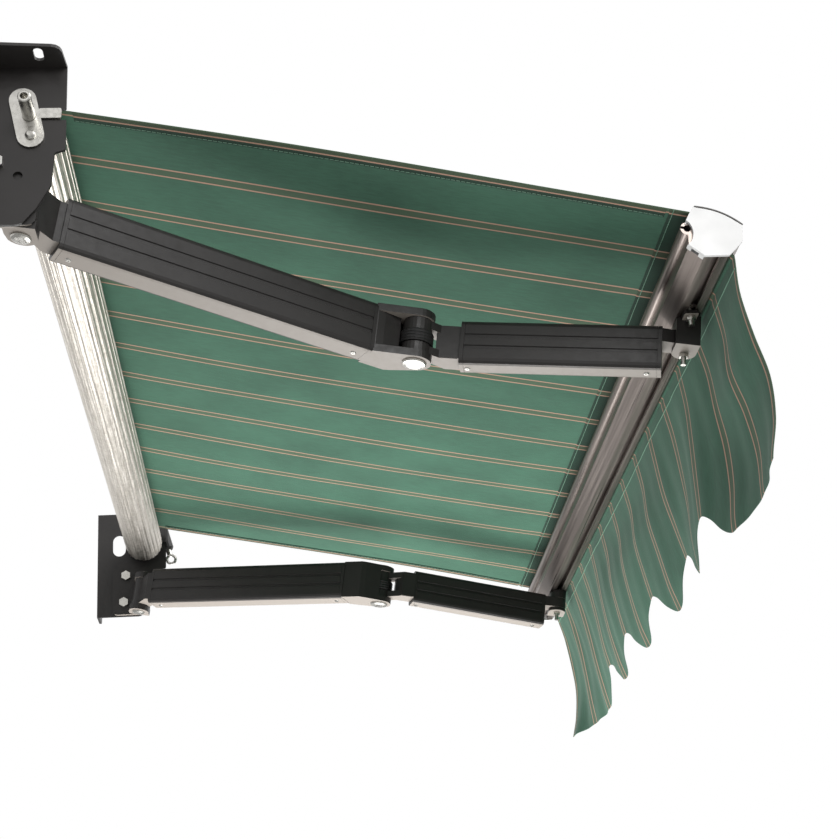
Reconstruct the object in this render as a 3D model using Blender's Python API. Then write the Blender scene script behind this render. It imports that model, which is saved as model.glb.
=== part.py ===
"""Folding arm awning, drawn fully open.

The wall is the plane y = 0 and the awning opens towards -Y. The left end, as seen from the
street, lies at small x. The origin is the middle of the left bracket's wall flange.
Side outlines are drawn as (out, up): the distance out from the roller's axis and the height
above it. Lengths are in metres and angles in degrees.
"""

import math

import bmesh
import bpy
from mathutils import Matrix, Vector

# Overall sizes
CLOTH_WIDTH = 1.440
CLOTH_THICK = 0.0012
CLOTH_MARGIN = 0.028
SEAT_GAP = 0.0003
TURNING_GAP = 0.0004

# Wall brackets
PLATE_THICK = 0.004
FLANGE_WIDTH = 0.050
PLATE_ABOVE_AXIS = 0.071
PLATE_BELOW_AXIS = 0.140
ROLLER_FROM_WALL = 0.092
PLATE_FRONT = 0.041
PLATE_LOW_FRONT = 0.029
NOTCH_LOW = -0.004
NOTCH_HIGH = 0.011
FLANGE_CORNER = 0.012
BEND_RADIUS = 0.004
WALL_SLOT_LENGTH = 0.024
WALL_SLOT_WIDTH = 0.011
CEILING_SLOT_OUT = 0.012
SIGHT_HOLE = (-0.050, 0.005)
SIGHT_HOLE_WIDTH = 0.025
SIGHT_HOLE_HEIGHT = 0.044
SPARE_HOLE = (-0.011, -0.077)
SPARE_HOLE_RADIUS = 0.0055

# Roller
ROLLER_RADIUS = 0.035
ROLLER_WALL = 0.0018
FLUTES = 24
FLUTE_DEPTH = 0.0010
ROLLER_OVERHANG = 0.006
PLUG_RIM = 0.005
PLUG_DEPTH = 0.030
AXLE_RADIUS = 0.0075
AXLE_PROUD = 0.040
AXLE_BORE = 0.0045
AXLE_BORE_DEPTH = 0.012

# Bearing plate at the left end
BEARING_THICK = 0.003
BEARING_RADIUS = 0.0155
BEARING_TOP = (-0.008, 0.022)
BEARING_FOOT = (0.002, -0.026)
STRAP_REACH = 0.036
BEARING_SCREW_RADIUS = 0.006

# Gearbox and crank eye at the right end
GEARBOX_RADIUS = 0.034
GEARBOX_DEPTH = 0.030
WORM_OUT = 0.044
WORM_TILT = 16.0
WORM_RADIUS = 0.0115
WORM_HIGH = 0.046
WORM_LOW = -0.002
EYE_STEM_RADIUS = 0.0055
EYE_STEM = 0.012
EYE_RING_RADIUS = 0.0085
EYE_WIRE_RADIUS = 0.003
DRIVE_SHAFT_RADIUS = 0.0065

# Folding arms
ARM_TILT = 9.3
REAR_ARM_ANGLE = 25.0
REAR_ARM_LENGTH = 0.504
FOREARM_LENGTH = 0.332
SHOULDER_FROM_PLATE = 0.026
SHOULDER_OUT = -0.004
SHOULDER_DROP = 0.102
REAR_ARM_HEIGHT = 0.068
REAR_ARM_WIDTH = 0.042
FOREARM_HEIGHT = 0.060
FOREARM_WIDTH = 0.034
FOREARM_SKEW = 4.5
ARM_WALL = 0.0028
ARM_CORNER = 0.007
GROOVE_WIDTH = 0.005
GROOVE_DEPTH = 0.0016
PIVOT_TO_ARM = 0.002
SPIGOT_LENGTH = 0.022
SPIGOT_GAP = 0.0005
END_FLANGE = 0.005

# Shoulder
SHOULDER_PAD_THICK = 0.006
SHOULDER_PAD_BACK = -0.062
SHOULDER_PAD_FRONT = 0.010
SHOULDER_PAD_TOP = -0.046
SHOULDER_PAD_FOOT = -0.138
SHOULDER_EAR_RADIUS = 0.019
SHOULDER_EAR_THICK = 0.011
SHOULDER_EAR_BACK = 0.019
KNUCKLE_RADIUS = 0.016
KNUCKLE_HEIGHT = 0.052
ROOT_LENGTH = 0.044
BOLT_OUT = (-0.036, -0.040)
BOLT_UP = (-0.060, -0.114)
BOLT_RADIUS = 0.005
BOLT_HEAD = 0.0095
BOLT_HEAD_THICK = 0.006
PIN_RADIUS = 0.006
PIN_HEAD_RADIUS = 0.012
PIN_HEAD_THICK = 0.004

# Elbow
EAR_RADIUS = 0.021
ELBOW_EAR_THICK = 0.0105
BARREL_RADIUS = 0.0185
BARREL_SWEEP = 0.0225
ELBOW_REAR_LENGTH = 0.056
ELBOW_FORE_LENGTH = 0.056
CABLE_STRANDS = 4
CABLE_RADIUS = 0.0024
CABLE_LAP = 0.0006
ELBOW_HEAD_RADIUS = 0.0155
BLOCK_START = 0.0245
STEP = 0.0005

# Arm spring
SPRING_RADIUS = 0.011
SPRING_WIRE = 0.0016
SPRING_TURNS = 22

# Front joint
TONGUE_RADIUS = 0.015
TONGUE_TOP = 0.026
TONGUE_THICK = 0.018
TIP_LENGTH = 0.026
FORK_HALF_WIDTH = 0.015
FORK_WEB = 0.006
FORK_EAR = 0.006
FORK_CLEAR = 0.0210
FRONT_PIN_RADIUS = 0.0035
FRONT_NUT_RADIUS = 0.0062
FRONT_NUT_THICK = 0.005
FRONT_PIN_TAIL = 0.010
FRONT_PIN_TOP = 0.033
OPEN_PIVOT_SLACK = 0.0055

# Front bar: outline points are (out, up) from the clamp slot's middle at the underside
BAR_OUT_FROM_PIVOT = 0.0055
BAR_OVER_PIVOT = 0.040
BAR_OVERHANG = 0.009
BAR_TOP = (-0.020, 0.062)
BAR_NOSE = (0.033, 0.037)
BAR_NOSE_FOOT = (0.030, 0.016)
BAR_BOTTOM_FRONT = (0.014, 0.0)
BAR_BOTTOM_BACK = (-0.015, 0.0)
BAR_BACK_FOOT = (-0.031, 0.014)
BAR_BACK_TOP = (-0.030, 0.046)
BAR_CROWN = 0.004
BAR_WALL = 0.0028
BEAD_CENTRE = (-0.030, 0.037)
BEAD_RADIUS = 0.008
BEAD_BORE = 0.0045
BEAD_MOUTH = 0.0034
CLAMP_SLOT_WIDTH = 0.009
CLAMP_SLOT_HEAD = 0.018
CLAMP_SLOT_LIP = 0.003
CLAMP_SLOT_DEPTH = 0.010
VALANCE_GROOVE = (0.0170, 0.0105)
VALANCE_GROOVE_RADIUS = 0.0036
VALANCE_MOUTH = 0.0034
CAP_THICK = 0.004
CAP_PROUD = 0.0012
CAP_NOTCH = 0.006
CAP_SPIGOT = 0.010
CLAMP_BOLT_RADIUS = 0.0038
CLAMP_HEAD_HALF = 0.0080
CLAMP_HEAD_THICK = 0.0045

# Valance
VALANCE_DROP = 0.285
SCALLOPS = 7
SCALLOP_DEPTH = 0.048
VALANCE_THICK = 0.0015
VALANCE_LEAD = 0.0050
VALANCE_COLUMNS = 84
VALANCE_ROWS = 7
VALANCE_WAVE = 0.017
BILLOW_OUT = 0.030
BILLOW_WIDTH = 0.260

ROUND_STEPS = 24
SMALL_STEPS = 16

# Places worked out from the sizes above
ROLLER_Y = -ROLLER_FROM_WALL
ROLLER_Z = (PLATE_BELOW_AXIS - PLATE_ABOVE_AXIS) / 2
LEFT_INNER_X = FLANGE_WIDTH / 2 + PLATE_THICK / 2
RIGHT_INNER_X = LEFT_INNER_X + CLOTH_WIDTH + 2 * CLOTH_MARGIN
MIDDLE_X = (LEFT_INNER_X + RIGHT_INNER_X) / 2
CLOTH_LEFT = LEFT_INNER_X + CLOTH_MARGIN
CLOTH_RIGHT = CLOTH_LEFT + CLOTH_WIDTH
SIDE = Matrix(((0, 0, 1, 0), (-1, 0, 0, ROLLER_Y), (0, 1, 0, ROLLER_Z), (0, 0, 0, 1)))

FRONT_OFFSET = REAR_ARM_LENGTH - FOREARM_LENGTH
FOREARM_ANGLE = math.degrees(
    math.asin((REAR_ARM_LENGTH * math.sin(math.radians(REAR_ARM_ANGLE)) - FRONT_OFFSET) / FOREARM_LENGTH)
)
SHOULDER = Vector((LEFT_INNER_X + SHOULDER_FROM_PLATE, ROLLER_Y - SHOULDER_OUT, ROLLER_Z - SHOULDER_DROP))
ARM_PLANE = Matrix.Translation(SHOULDER) @ Matrix.Rotation(math.radians(ARM_TILT), 4, "X")
REAR_FRAME = ARM_PLANE @ Matrix.Rotation(math.radians(REAR_ARM_ANGLE - 90), 4, "Z")
ELBOW = REAR_FRAME @ Vector((REAR_ARM_LENGTH, 0, 0))
TILTED = Matrix.Rotation(math.radians(ARM_TILT), 4, "X")
FORE_FRAME = Matrix.Translation(ELBOW) @ TILTED @ Matrix.Rotation(math.radians(-90 - FOREARM_ANGLE), 4, "Z")
FRONT_PIVOT = FORE_FRAME @ Vector((FOREARM_LENGTH, 0, 0))
FORK_FRAME = Matrix.Translation(FRONT_PIVOT) @ TILTED

BAR_OUT = ROLLER_Y - FRONT_PIVOT.y + BAR_OUT_FROM_PIVOT
BAR_UP = FRONT_PIVOT.z - ROLLER_Z + BAR_OVER_PIVOT
REAR_ARM_SIDE = PIVOT_TO_ARM + REAR_ARM_WIDTH / 2
FOREARM_SIDE = PIVOT_TO_ARM + FOREARM_WIDTH / 2
SKEWED = Matrix.Rotation(math.radians(-FOREARM_SKEW), 4, "Z")
FORE_BODY = FORE_FRAME @ Matrix.Translation((0, FOREARM_SIDE, 0)) @ SKEWED


# Materials

def finish(name, colour, rough, metal=0.0):
    """Plain finish with the part's own colour."""
    made = bpy.data.materials.new(name)
    made.use_nodes = True
    shader = made.node_tree.nodes["Principled BSDF"]
    shader.inputs["Base Color"].default_value = (*colour, 1.0)
    shader.inputs["Roughness"].default_value = rough
    shader.inputs["Metallic"].default_value = metal
    return made


COAT = ("dark powder coat", (0.045, 0.041, 0.038), 0.42)
ZINC = ("zinc plate", (0.62, 0.62, 0.60), 0.35, 1.0)
GALVANISED = ("galvanised tube", (0.58, 0.58, 0.56), 0.45, 1.0)
ANODISED = ("anodised bar", (0.46, 0.44, 0.42), 0.35, 1.0)
PLASTIC = ("white plastic", (0.86, 0.86, 0.85), 0.4)
BLACK = ("black plastic", (0.02, 0.02, 0.02), 0.5)
CLOTH = ("green striped cloth", (0.035, 0.11, 0.07), 0.85)
SPRING_STEEL = ("spring steel", (0.35, 0.35, 0.36), 0.4, 1.0)


# Outlines

def arc(centre, radius, start, end, steps):
    """Points on a circle from one angle to another, ends included."""
    angles = [math.radians(start + (end - start) * i / steps) for i in range(steps + 1)]
    return [(centre[0] + radius * math.cos(a), centre[1] + radius * math.sin(a)) for a in angles]


def circle(centre, radius, steps=ROUND_STEPS):
    return arc(centre, radius, 0, 360, steps)[:-1]


def rounded(corners, radius, steps=3):
    """Polygon whose corners are filleted; a corner may carry its own radius as a third value."""
    points = []
    count = len(corners)
    for i in range(count):
        here = Vector(corners[i][:2])
        before = (Vector(corners[i - 1][:2]) - here).normalized()
        after = (Vector(corners[(i + 1) % count][:2]) - here).normalized()
        size = corners[i][2] if len(corners[i]) > 2 else radius
        half = before.angle(after) / 2
        if size <= 0 or half > math.radians(89):
            points.append(tuple(here))
            continue
        middle = here + (before + after).normalized() * size / math.sin(half)
        reach = size / math.tan(half)
        first = here + before * reach - middle
        turn = first.angle_signed(here + after * reach - middle)
        for k in range(steps + 1):
            angle = -turn * k / steps
            cosine, sine = math.cos(angle), math.sin(angle)
            points.append((
                middle.x + first.x * cosine - first.y * sine,
                middle.y + first.x * sine + first.y * cosine,
            ))
    return points


def box(low_x, low_y, high_x, high_y):
    return [(low_x, low_y), (high_x, low_y), (high_x, high_y), (low_x, high_y)]


def crowned(start, end, rise, steps=8):
    """Inner points of a shallow arc from start to end, raised to the left of the way."""
    a, b = Vector(start), Vector(end)
    chord = b - a
    normal = Vector((-chord.y, chord.x)).normalized()
    points = []
    for i in range(1, steps):
        t = i / steps
        points.append(tuple(a + chord * t + normal * rise * 4 * t * (1 - t)))
    return points


def slot(centre, length, width, angle=0.0, steps=SMALL_STEPS // 2):
    """Slot with round ends; length is from end to end."""
    reach = (length - width) / 2
    points = []
    for side in (1, -1):
        start = -90 if side > 0 else 90
        points += [(x + side * reach, y) for x, y in arc((0, 0), width / 2, start, start + 180, steps)]
    turn = math.radians(angle)
    cosine, sine = math.cos(turn), math.sin(turn)
    return [(centre[0] + x * cosine - y * sine, centre[1] + x * sine + y * cosine) for x, y in points]


def strip(points, thick):
    """Closed outline of a thin sheet that follows a line of points."""
    upper, lower = [], []
    for i, point in enumerate(points):
        ahead = Vector(points[min(i + 1, len(points) - 1)]) - Vector(points[max(i - 1, 0)])
        normal = Vector((-ahead.y, ahead.x)).normalized() * thick / 2
        upper.append((point[0] + normal.x, point[1] + normal.y))
        lower.append((point[0] - normal.x, point[1] - normal.y))
    return upper + lower[::-1]


# Solids

def prism(loops, low, high, frame):
    """Outline with holes, carried from low to high along the frame's third axis."""
    mesh = bmesh.new()
    ends = []
    for height in (low, high):
        rings = [[mesh.verts.new((x, y, height)) for x, y in loop] for loop in loops]
        edges = [mesh.edges.new((ring[i - 1], ring[i])) for ring in rings for i in range(len(ring))]
        if len(loops) == 1:
            mesh.faces.new(rings[0])
        else:
            bmesh.ops.triangle_fill(mesh, use_beauty=True, edges=edges)
        ends.append(rings)
    for low_ring, high_ring in zip(*ends):
        for i in range(len(low_ring)):
            mesh.faces.new((low_ring[i - 1], low_ring[i], high_ring[i], high_ring[i - 1]))
    mesh.transform(frame)
    return mesh


def turned(profile, frame, steps=ROUND_STEPS, bored=False):
    """Solid of revolution about the frame's third axis; a bored profile is a closed ring."""
    mesh = bmesh.new()
    rings = []
    for radius, height in profile:
        rings.append([mesh.verts.new((x, y, height)) for x, y in circle((0, 0), radius, steps)])
    pairs = list(zip(rings, rings[1:]))
    if bored:
        pairs.append((rings[-1], rings[0]))
    else:
        mesh.faces.new(rings[0])
        mesh.faces.new(rings[-1])
    for lower, upper in pairs:
        for i in range(steps):
            mesh.faces.new((lower[i - 1], lower[i], upper[i], upper[i - 1]))
    mesh.transform(frame)
    return mesh


def swept(centres, radius, steps):
    """Round wire along a line of points, with flat ends."""
    mesh = bmesh.new()
    rings = []
    for i, centre in enumerate(centres):
        ahead = (centres[min(i + 1, len(centres) - 1)] - centres[max(i - 1, 0)]).normalized()
        side = side - ahead * side.dot(ahead) if rings else ahead.orthogonal()
        side.normalize()
        up = ahead.cross(side)
        ring = []
        for x, y in circle((0, 0), radius, steps):
            ring.append(mesh.verts.new(centre + side * x + up * y))
        rings.append(ring)
    mesh.faces.new(rings[0])
    mesh.faces.new(rings[-1])
    for lower, upper in zip(rings, rings[1:]):
        for k in range(steps):
            mesh.faces.new((lower[k - 1], lower[k], upper[k], upper[k - 1]))
    return mesh


def mirrored(mesh):
    """The same piece at the other end of the awning."""
    for vert in mesh.verts:
        vert.co.x = 2 * MIDDLE_X - vert.co.x
    return mesh


def new_object(name, mesh, origin):
    bmesh.ops.recalc_face_normals(mesh, faces=mesh.faces)
    if mesh.calc_volume(signed=True) < 0:
        bmesh.ops.reverse_faces(mesh, faces=mesh.faces)
    mesh.transform(Matrix.Translation(-origin))
    data = bpy.data.meshes.new(name)
    mesh.to_mesh(data)
    mesh.free()
    data.shade_smooth()
    data.set_sharp_from_angle(angle=math.radians(35))
    made = bpy.data.objects.new(name, data)
    made.location = origin
    bpy.context.scene.collection.objects.link(made)
    return made


def add_part(name, material, solids, cuts=(), origin=None, flip=False):
    """One sub-part: its first solid, the others joined to it, and the cuts taken out."""
    change = mirrored if flip else (lambda mesh: mesh)
    place = Vector(origin) if origin is not None else Vector((MIDDLE_X, ROLLER_Y, ROLLER_Z))
    if flip and origin is not None:
        place.x = 2 * MIDDLE_X - place.x
    made = new_object(name, change(solids[0]), place)
    tools = [(mesh, "UNION") for mesh in solids[1:]] + [(mesh, "DIFFERENCE") for mesh in cuts]
    for number, (mesh, operation) in enumerate(tools):
        tool = new_object(f"{name}_tool_{number}", change(mesh), place)
        tool.hide_render = True
        tool.display_type = "WIRE"
        step = made.modifiers.new(tool.name, "BOOLEAN")
        step.operation = operation
        step.object = tool
    made.data.materials.append(bpy.data.materials.get(material[0]) or finish(*material))
    return made


def on_both_ends(name, material, build, origin=None):
    """Left piece and its mirror image on the right; build returns the solids and the cuts."""
    for end, flip in (("left", False), ("right", True)):
        solids, cuts = build()
        add_part(f"{end}_{name}", material, solids, cuts, origin, flip)


# Wall brackets

def bracket():
    """Folded steel: side plate, wall flange and ceiling flange bent away from the awning."""
    back = -ROLLER_FROM_WALL
    top = PLATE_ABOVE_AXIS
    foot = -PLATE_BELOW_AXIS
    outline = rounded([
        (back, foot, 0),
        (-0.006, foot, 0.014),
        (0.010, -0.120, 0.010),
        (PLATE_LOW_FRONT - 0.003, -0.090, 0.012),
        (PLATE_LOW_FRONT, -0.047, 0.004),
        (PLATE_FRONT, -0.044, 0.003),
        (PLATE_FRONT, NOTCH_LOW, 0),
        (PLATE_LOW_FRONT, NOTCH_LOW, 0),
        (PLATE_LOW_FRONT, NOTCH_HIGH, 0),
        (PLATE_FRONT, NOTCH_HIGH, 0.002),
        (PLATE_FRONT, top, 0),
        (back, top, 0),
    ], 0)
    holes = [
        slot(SIGHT_HOLE, SIGHT_HOLE_HEIGHT, SIGHT_HOLE_WIDTH, 90),
        circle((0, 0), AXLE_RADIUS + 0.0015, SMALL_STEPS),
        circle(SPARE_HOLE, SPARE_HOLE_RADIUS, SMALL_STEPS),
    ]
    holes += [circle(at, BOLT_RADIUS + SEAT_GAP, SMALL_STEPS) for at in zip(BOLT_OUT, BOLT_UP)]
    plate = prism([outline] + holes, LEFT_INNER_X - PLATE_THICK, LEFT_INNER_X, SIDE)

    edge = LEFT_INNER_X - PLATE_THICK / 2
    far_edge = LEFT_INNER_X - FLANGE_WIDTH - PLATE_THICK
    across = (far_edge + edge - BEND_RADIUS) / 2
    wall_face = Matrix(((1, 0, 0, 0), (0, 0, -1, 0), (0, 1, 0, ROLLER_Z), (0, 0, 0, 1)))
    wall_outline = rounded([
        (edge, foot, 0),
        (edge, top - PLATE_THICK / 2, 0),
        (far_edge, top - PLATE_THICK / 2, 0),
        (far_edge, foot, FLANGE_CORNER),
    ], 0)
    wall_slots = [slot((across, up), WALL_SLOT_LENGTH, WALL_SLOT_WIDTH) for up in (0.028, -0.098)]
    wall_flange = prism([wall_outline] + wall_slots, 0, PLATE_THICK, wall_face)

    ceiling = Matrix(((1, 0, 0, 0), (0, -1, 0, ROLLER_Y), (0, 0, 1, ROLLER_Z), (0, 0, 0, 1)))
    ceiling_outline = rounded([
        (edge, back + PLATE_THICK / 2, 0),
        (edge, PLATE_FRONT, 0),
        (far_edge + 0.010, PLATE_FRONT - 0.003, FLANGE_CORNER),
        (far_edge, back + PLATE_THICK / 2, 0),
    ], 0)
    ceiling_slots = []
    for out in (CEILING_SLOT_OUT, -0.058):
        ceiling_slots.append(slot((across, out), WALL_SLOT_LENGTH, WALL_SLOT_WIDTH))
    ceiling_flange = prism([ceiling_outline] + ceiling_slots, top - PLATE_THICK, top, ceiling)
    return [plate, wall_flange, ceiling_flange], []


def bearing_plate():
    """Zinc plate with the axle's slot and a strap that hooks through the bracket's notch."""
    outer = LEFT_INNER_X - PLATE_THICK - SEAT_GAP
    lean = math.degrees(math.atan2(BEARING_TOP[1] - BEARING_FOOT[1], BEARING_TOP[0] - BEARING_FOOT[0]))
    outline = arc(BEARING_TOP, BEARING_RADIUS, lean - 90, lean + 90, 10)
    outline += arc(BEARING_FOOT, BEARING_RADIUS, lean + 90, lean + 270, 10)
    hole = circle((0, 0), AXLE_RADIUS + TURNING_GAP, SMALL_STEPS)
    plate = prism([outline, hole], outer - BEARING_THICK, outer, SIDE)
    strap = prism(
        [rounded(box(AXLE_RADIUS + 0.003, NOTCH_LOW + 0.001, STRAP_REACH, NOTCH_HIGH - 0.001), 0.002)],
        outer - BEARING_THICK, outer - BEARING_THICK / 3, SIDE,
    )
    foot = (outer - BEARING_THICK, ROLLER_Y - BEARING_FOOT[0], ROLLER_Z + BEARING_FOOT[1])
    head = Matrix.Translation(foot) @ Matrix.Rotation(math.radians(-90), 4, "Y")
    radius = BEARING_SCREW_RADIUS
    screw = turned([(radius, -0.001), (radius, 0.002), (radius * 0.6, 0.0045)], head, SMALL_STEPS)
    add_part("bearing_plate", ZINC, [plate, strap, screw])


def gearbox():
    """Worm gear housing on the right bracket's outer face."""
    face = RIGHT_INNER_X + PLATE_THICK + SEAT_GAP
    radius = GEARBOX_RADIUS
    drum_frame = Matrix.Translation((face, ROLLER_Y, ROLLER_Z)) @ Matrix.Rotation(math.radians(90), 4, "Y")
    lid = radius * 0.82
    drum = turned([
        (radius, 0), (radius, GEARBOX_DEPTH * 0.75), (radius - 0.003, GEARBOX_DEPTH * 0.85),
        (lid, GEARBOX_DEPTH * 0.85), (lid - 0.001, GEARBOX_DEPTH),
    ], drum_frame)
    housing = turned([
        (WORM_RADIUS * 0.8, WORM_LOW), (WORM_RADIUS, WORM_LOW + 0.004), (WORM_RADIUS, WORM_HIGH - 0.004),
        (WORM_RADIUS * 0.8, WORM_HIGH),
    ], worm_frame(), SMALL_STEPS)
    neck = prism([box(0.006, -0.004, WORM_OUT, 0.040)], face + 0.002, face + GEARBOX_DEPTH * 0.7, SIDE)
    shaft_hole = turned([
        (DRIVE_SHAFT_RADIUS + TURNING_GAP, -0.002), (DRIVE_SHAFT_RADIUS + TURNING_GAP, GEARBOX_DEPTH * 0.6),
    ], drum_frame, SMALL_STEPS)
    stem_hole = turned([
        (EYE_STEM_RADIUS + TURNING_GAP, WORM_LOW - 0.002), (EYE_STEM_RADIUS + TURNING_GAP, WORM_LOW + 0.020),
    ], worm_frame(), SMALL_STEPS)
    add_part("gearbox", BLACK, [drum, housing, neck], [shaft_hole, stem_hole])


def worm_frame():
    """Frame on the worm's axis, its third axis up along the worm."""
    x = RIGHT_INNER_X + PLATE_THICK + SEAT_GAP + GEARBOX_DEPTH * 0.42
    place = Matrix.Translation((x, ROLLER_Y - WORM_OUT, ROLLER_Z))
    return place @ Matrix.Rotation(math.radians(-WORM_TILT), 4, "X")


def crank_eye():
    """Stem and ring that the crank's hook turns."""
    frame = worm_frame()
    top = WORM_LOW + 0.020 - SEAT_GAP
    foot = WORM_LOW - EYE_STEM
    stem = turned([(EYE_STEM_RADIUS, foot), (EYE_STEM_RADIUS, top)], frame, SMALL_STEPS)
    sideways = Matrix.Rotation(math.radians(90), 4, "Y")
    ring_frame = frame @ Matrix.Translation((0, 0, foot - EYE_RING_RADIUS)) @ sideways
    wire = [(EYE_RING_RADIUS + x, y) for x, y in circle((0, 0), EYE_WIRE_RADIUS, 8)]
    ring = turned(wire, ring_frame, SMALL_STEPS, bored=True)
    add_part("crank_eye", ZINC, [stem, ring], origin=frame.translation)


# Roller

def roller():
    """Fluted steel tube with a plug in each end."""
    left = CLOTH_LEFT - ROLLER_OVERHANG
    right = CLOTH_RIGHT + ROLLER_OVERHANG
    steps = FLUTES * 3
    outer = []
    for i in range(steps):
        angle = 2 * math.pi * i / steps
        radius = ROLLER_RADIUS - (FLUTE_DEPTH if i % 3 == 2 else 0)
        outer.append((radius * math.cos(angle), radius * math.sin(angle)))
    bore = ROLLER_RADIUS - FLUTE_DEPTH - ROLLER_WALL
    inner = circle((0, 0), bore, steps // 2)
    add_part("roller_tube", GALVANISED, [prism([outer, inner], left, right, SIDE)])

    plug_radius = bore - SEAT_GAP * 2
    along_left = Matrix.Translation((left, ROLLER_Y, ROLLER_Z)) @ Matrix.Rotation(math.radians(-90), 4, "Y")
    reach = left - (LEFT_INNER_X - PLATE_THICK - BEARING_THICK) + AXLE_PROUD
    rim = ROLLER_RADIUS - 0.001
    collar = AXLE_RADIUS * 1.6
    plug = turned([
        (plug_radius - 0.003, -PLUG_DEPTH), (plug_radius, -PLUG_DEPTH + 0.004), (plug_radius, SEAT_GAP),
        (rim, SEAT_GAP), (rim, PLUG_RIM), (collar, PLUG_RIM), (collar, PLUG_RIM + 0.006),
        (AXLE_RADIUS, PLUG_RIM + 0.006), (AXLE_RADIUS, reach - 0.001), (AXLE_RADIUS - 0.001, reach),
        (AXLE_BORE, reach), (AXLE_BORE - 0.001, reach - AXLE_BORE_DEPTH),
    ], along_left)
    add_part("roller_bearing_plug", ZINC, [plug])

    along_right = Matrix.Translation((right, ROLLER_Y, ROLLER_Z)) @ Matrix.Rotation(math.radians(90), 4, "Y")
    shaft = RIGHT_INNER_X + PLATE_THICK + SEAT_GAP + GEARBOX_DEPTH * 0.55 - right
    drive = turned([
        (plug_radius - 0.003, -PLUG_DEPTH), (plug_radius, -PLUG_DEPTH + 0.004), (plug_radius, SEAT_GAP),
        (rim, SEAT_GAP), (rim, PLUG_RIM), (DRIVE_SHAFT_RADIUS, PLUG_RIM), (DRIVE_SHAFT_RADIUS, shaft),
    ], along_right)
    add_part("roller_drive_plug", BLACK, [drive])


# Shoulders

def shoulder():
    """Casting bolted inside the bracket, with two ears round the shoulder pin."""
    back = LEFT_INNER_X + SEAT_GAP
    holes = [circle(at, BOLT_RADIUS + SEAT_GAP, SMALL_STEPS) for at in zip(BOLT_OUT, BOLT_UP)]
    pad_outline = rounded(
        box(SHOULDER_PAD_BACK, SHOULDER_PAD_FOOT, SHOULDER_PAD_FRONT, SHOULDER_PAD_TOP), 0.010)
    pad = prism([pad_outline] + holes, back, back + SHOULDER_PAD_THICK, SIDE)
    inner = SHOULDER_FROM_PLATE - SEAT_GAP - SHOULDER_PAD_THICK / 2
    ear_outline = arc((0, 0), SHOULDER_EAR_RADIUS, -90, 60, 10)
    ear_outline += [(-0.004, SHOULDER_EAR_BACK), (-inner, SHOULDER_EAR_BACK), (-inner, -SHOULDER_EAR_RADIUS)]
    half = KNUCKLE_HEIGHT / 2 + SEAT_GAP
    ears = [
        prism([ear_outline], half, half + SHOULDER_EAR_THICK, ARM_PLANE),
        prism([ear_outline], -half - SHOULDER_EAR_THICK, -half, ARM_PLANE),
    ]
    bore = turned([(PIN_RADIUS + SEAT_GAP, -0.1), (PIN_RADIUS + SEAT_GAP, 0.1)], ARM_PLANE, SMALL_STEPS)
    return [pad] + ears, [bore]


def shoulder_pin():
    """Hinge pin with a domed head below and a snap ring above."""
    reach = KNUCKLE_HEIGHT / 2 + SHOULDER_EAR_THICK + SEAT_GAP
    return [headed_pin(ARM_PLANE, PIN_RADIUS, reach, PIN_HEAD_RADIUS, PIN_HEAD_THICK)], []


def headed_pin(frame, radius, reach, head, thick):
    """Pin with a domed head on each outer face."""
    face = reach + SEAT_GAP
    return turned([
        (head * 0.6, -face - thick), (head * 0.92, -face - thick * 0.7), (head, -face - thick * 0.3),
        (head, -face), (radius, -face), (radius, face), (head, face),
        (head, face + thick * 0.5), (head * 0.7, face + thick * 0.8),
    ], frame, ROUND_STEPS)


def shoulder_bolt(number):
    """Bolt with its head inside the casting and its nut outside the plate."""
    centre = Matrix.Translation((LEFT_INNER_X, ROLLER_Y - BOLT_OUT[number], ROLLER_Z + BOLT_UP[number]))
    frame = centre @ Matrix.Rotation(math.radians(90), 4, "Y")
    inner = SHOULDER_PAD_THICK + 2 * SEAT_GAP
    outer = -PLATE_THICK - SEAT_GAP
    tail = outer - BOLT_HEAD_THICK - 0.003
    shank = turned([(BOLT_RADIUS, tail), (BOLT_RADIUS, inner + 0.002)], frame, SMALL_STEPS)
    head = turned([(BOLT_HEAD, inner), (BOLT_HEAD, inner + BOLT_HEAD_THICK)], frame, 6)
    nut = turned([(BOLT_HEAD, outer - BOLT_HEAD_THICK), (BOLT_HEAD, outer)], frame, 6)
    return [shank, head, nut], []


# Arm sections

def arm_section(height, width, side, shrink=0.0):
    """Rounded arm section, grooved along both flanks when it is not shrunk."""
    low, high = side - width / 2 + shrink, side + width / 2 - shrink
    top = height / 2 - shrink
    corner = max(ARM_CORNER - shrink, 0.002)
    if shrink:
        return rounded([(low, -top), (high, -top), (high, top), (low, top)], corner)
    points = []
    groove_at = (height * 0.14, -height * 0.12)
    half = GROOVE_WIDTH / 2
    outline = rounded([(low, -top), (high, -top), (high, top), (low, top)], corner)
    steps = len(outline) // 4
    points += outline[:2 * steps]
    for up in reversed(groove_at):
        points += [(high, up - half), (high - GROOVE_DEPTH, up - half * 0.6),
                   (high - GROOVE_DEPTH, up + half * 0.6), (high, up + half)]
    points += outline[2 * steps:]
    for up in groove_at:
        points += [(low, up + half), (low + GROOVE_DEPTH, up + half * 0.6),
                   (low + GROOVE_DEPTH, up - half * 0.6), (low, up - half)]
    return points


def along(frame):
    """Frame whose third axis runs along an arm, with the section's (side, up) as the first two."""
    return frame @ Matrix(((0, 0, 1, 0), (1, 0, 0, 0), (0, 1, 0, 0), (0, 0, 0, 1)))


def arm_tube(frame, height, width, side, start, end):
    """Hollow extrusion from start to end along an arm."""
    outer = arm_section(height, width, side)
    inner = arm_section(height, width, side, ARM_WALL)
    return prism([outer, inner], start, end, along(frame))


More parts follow.
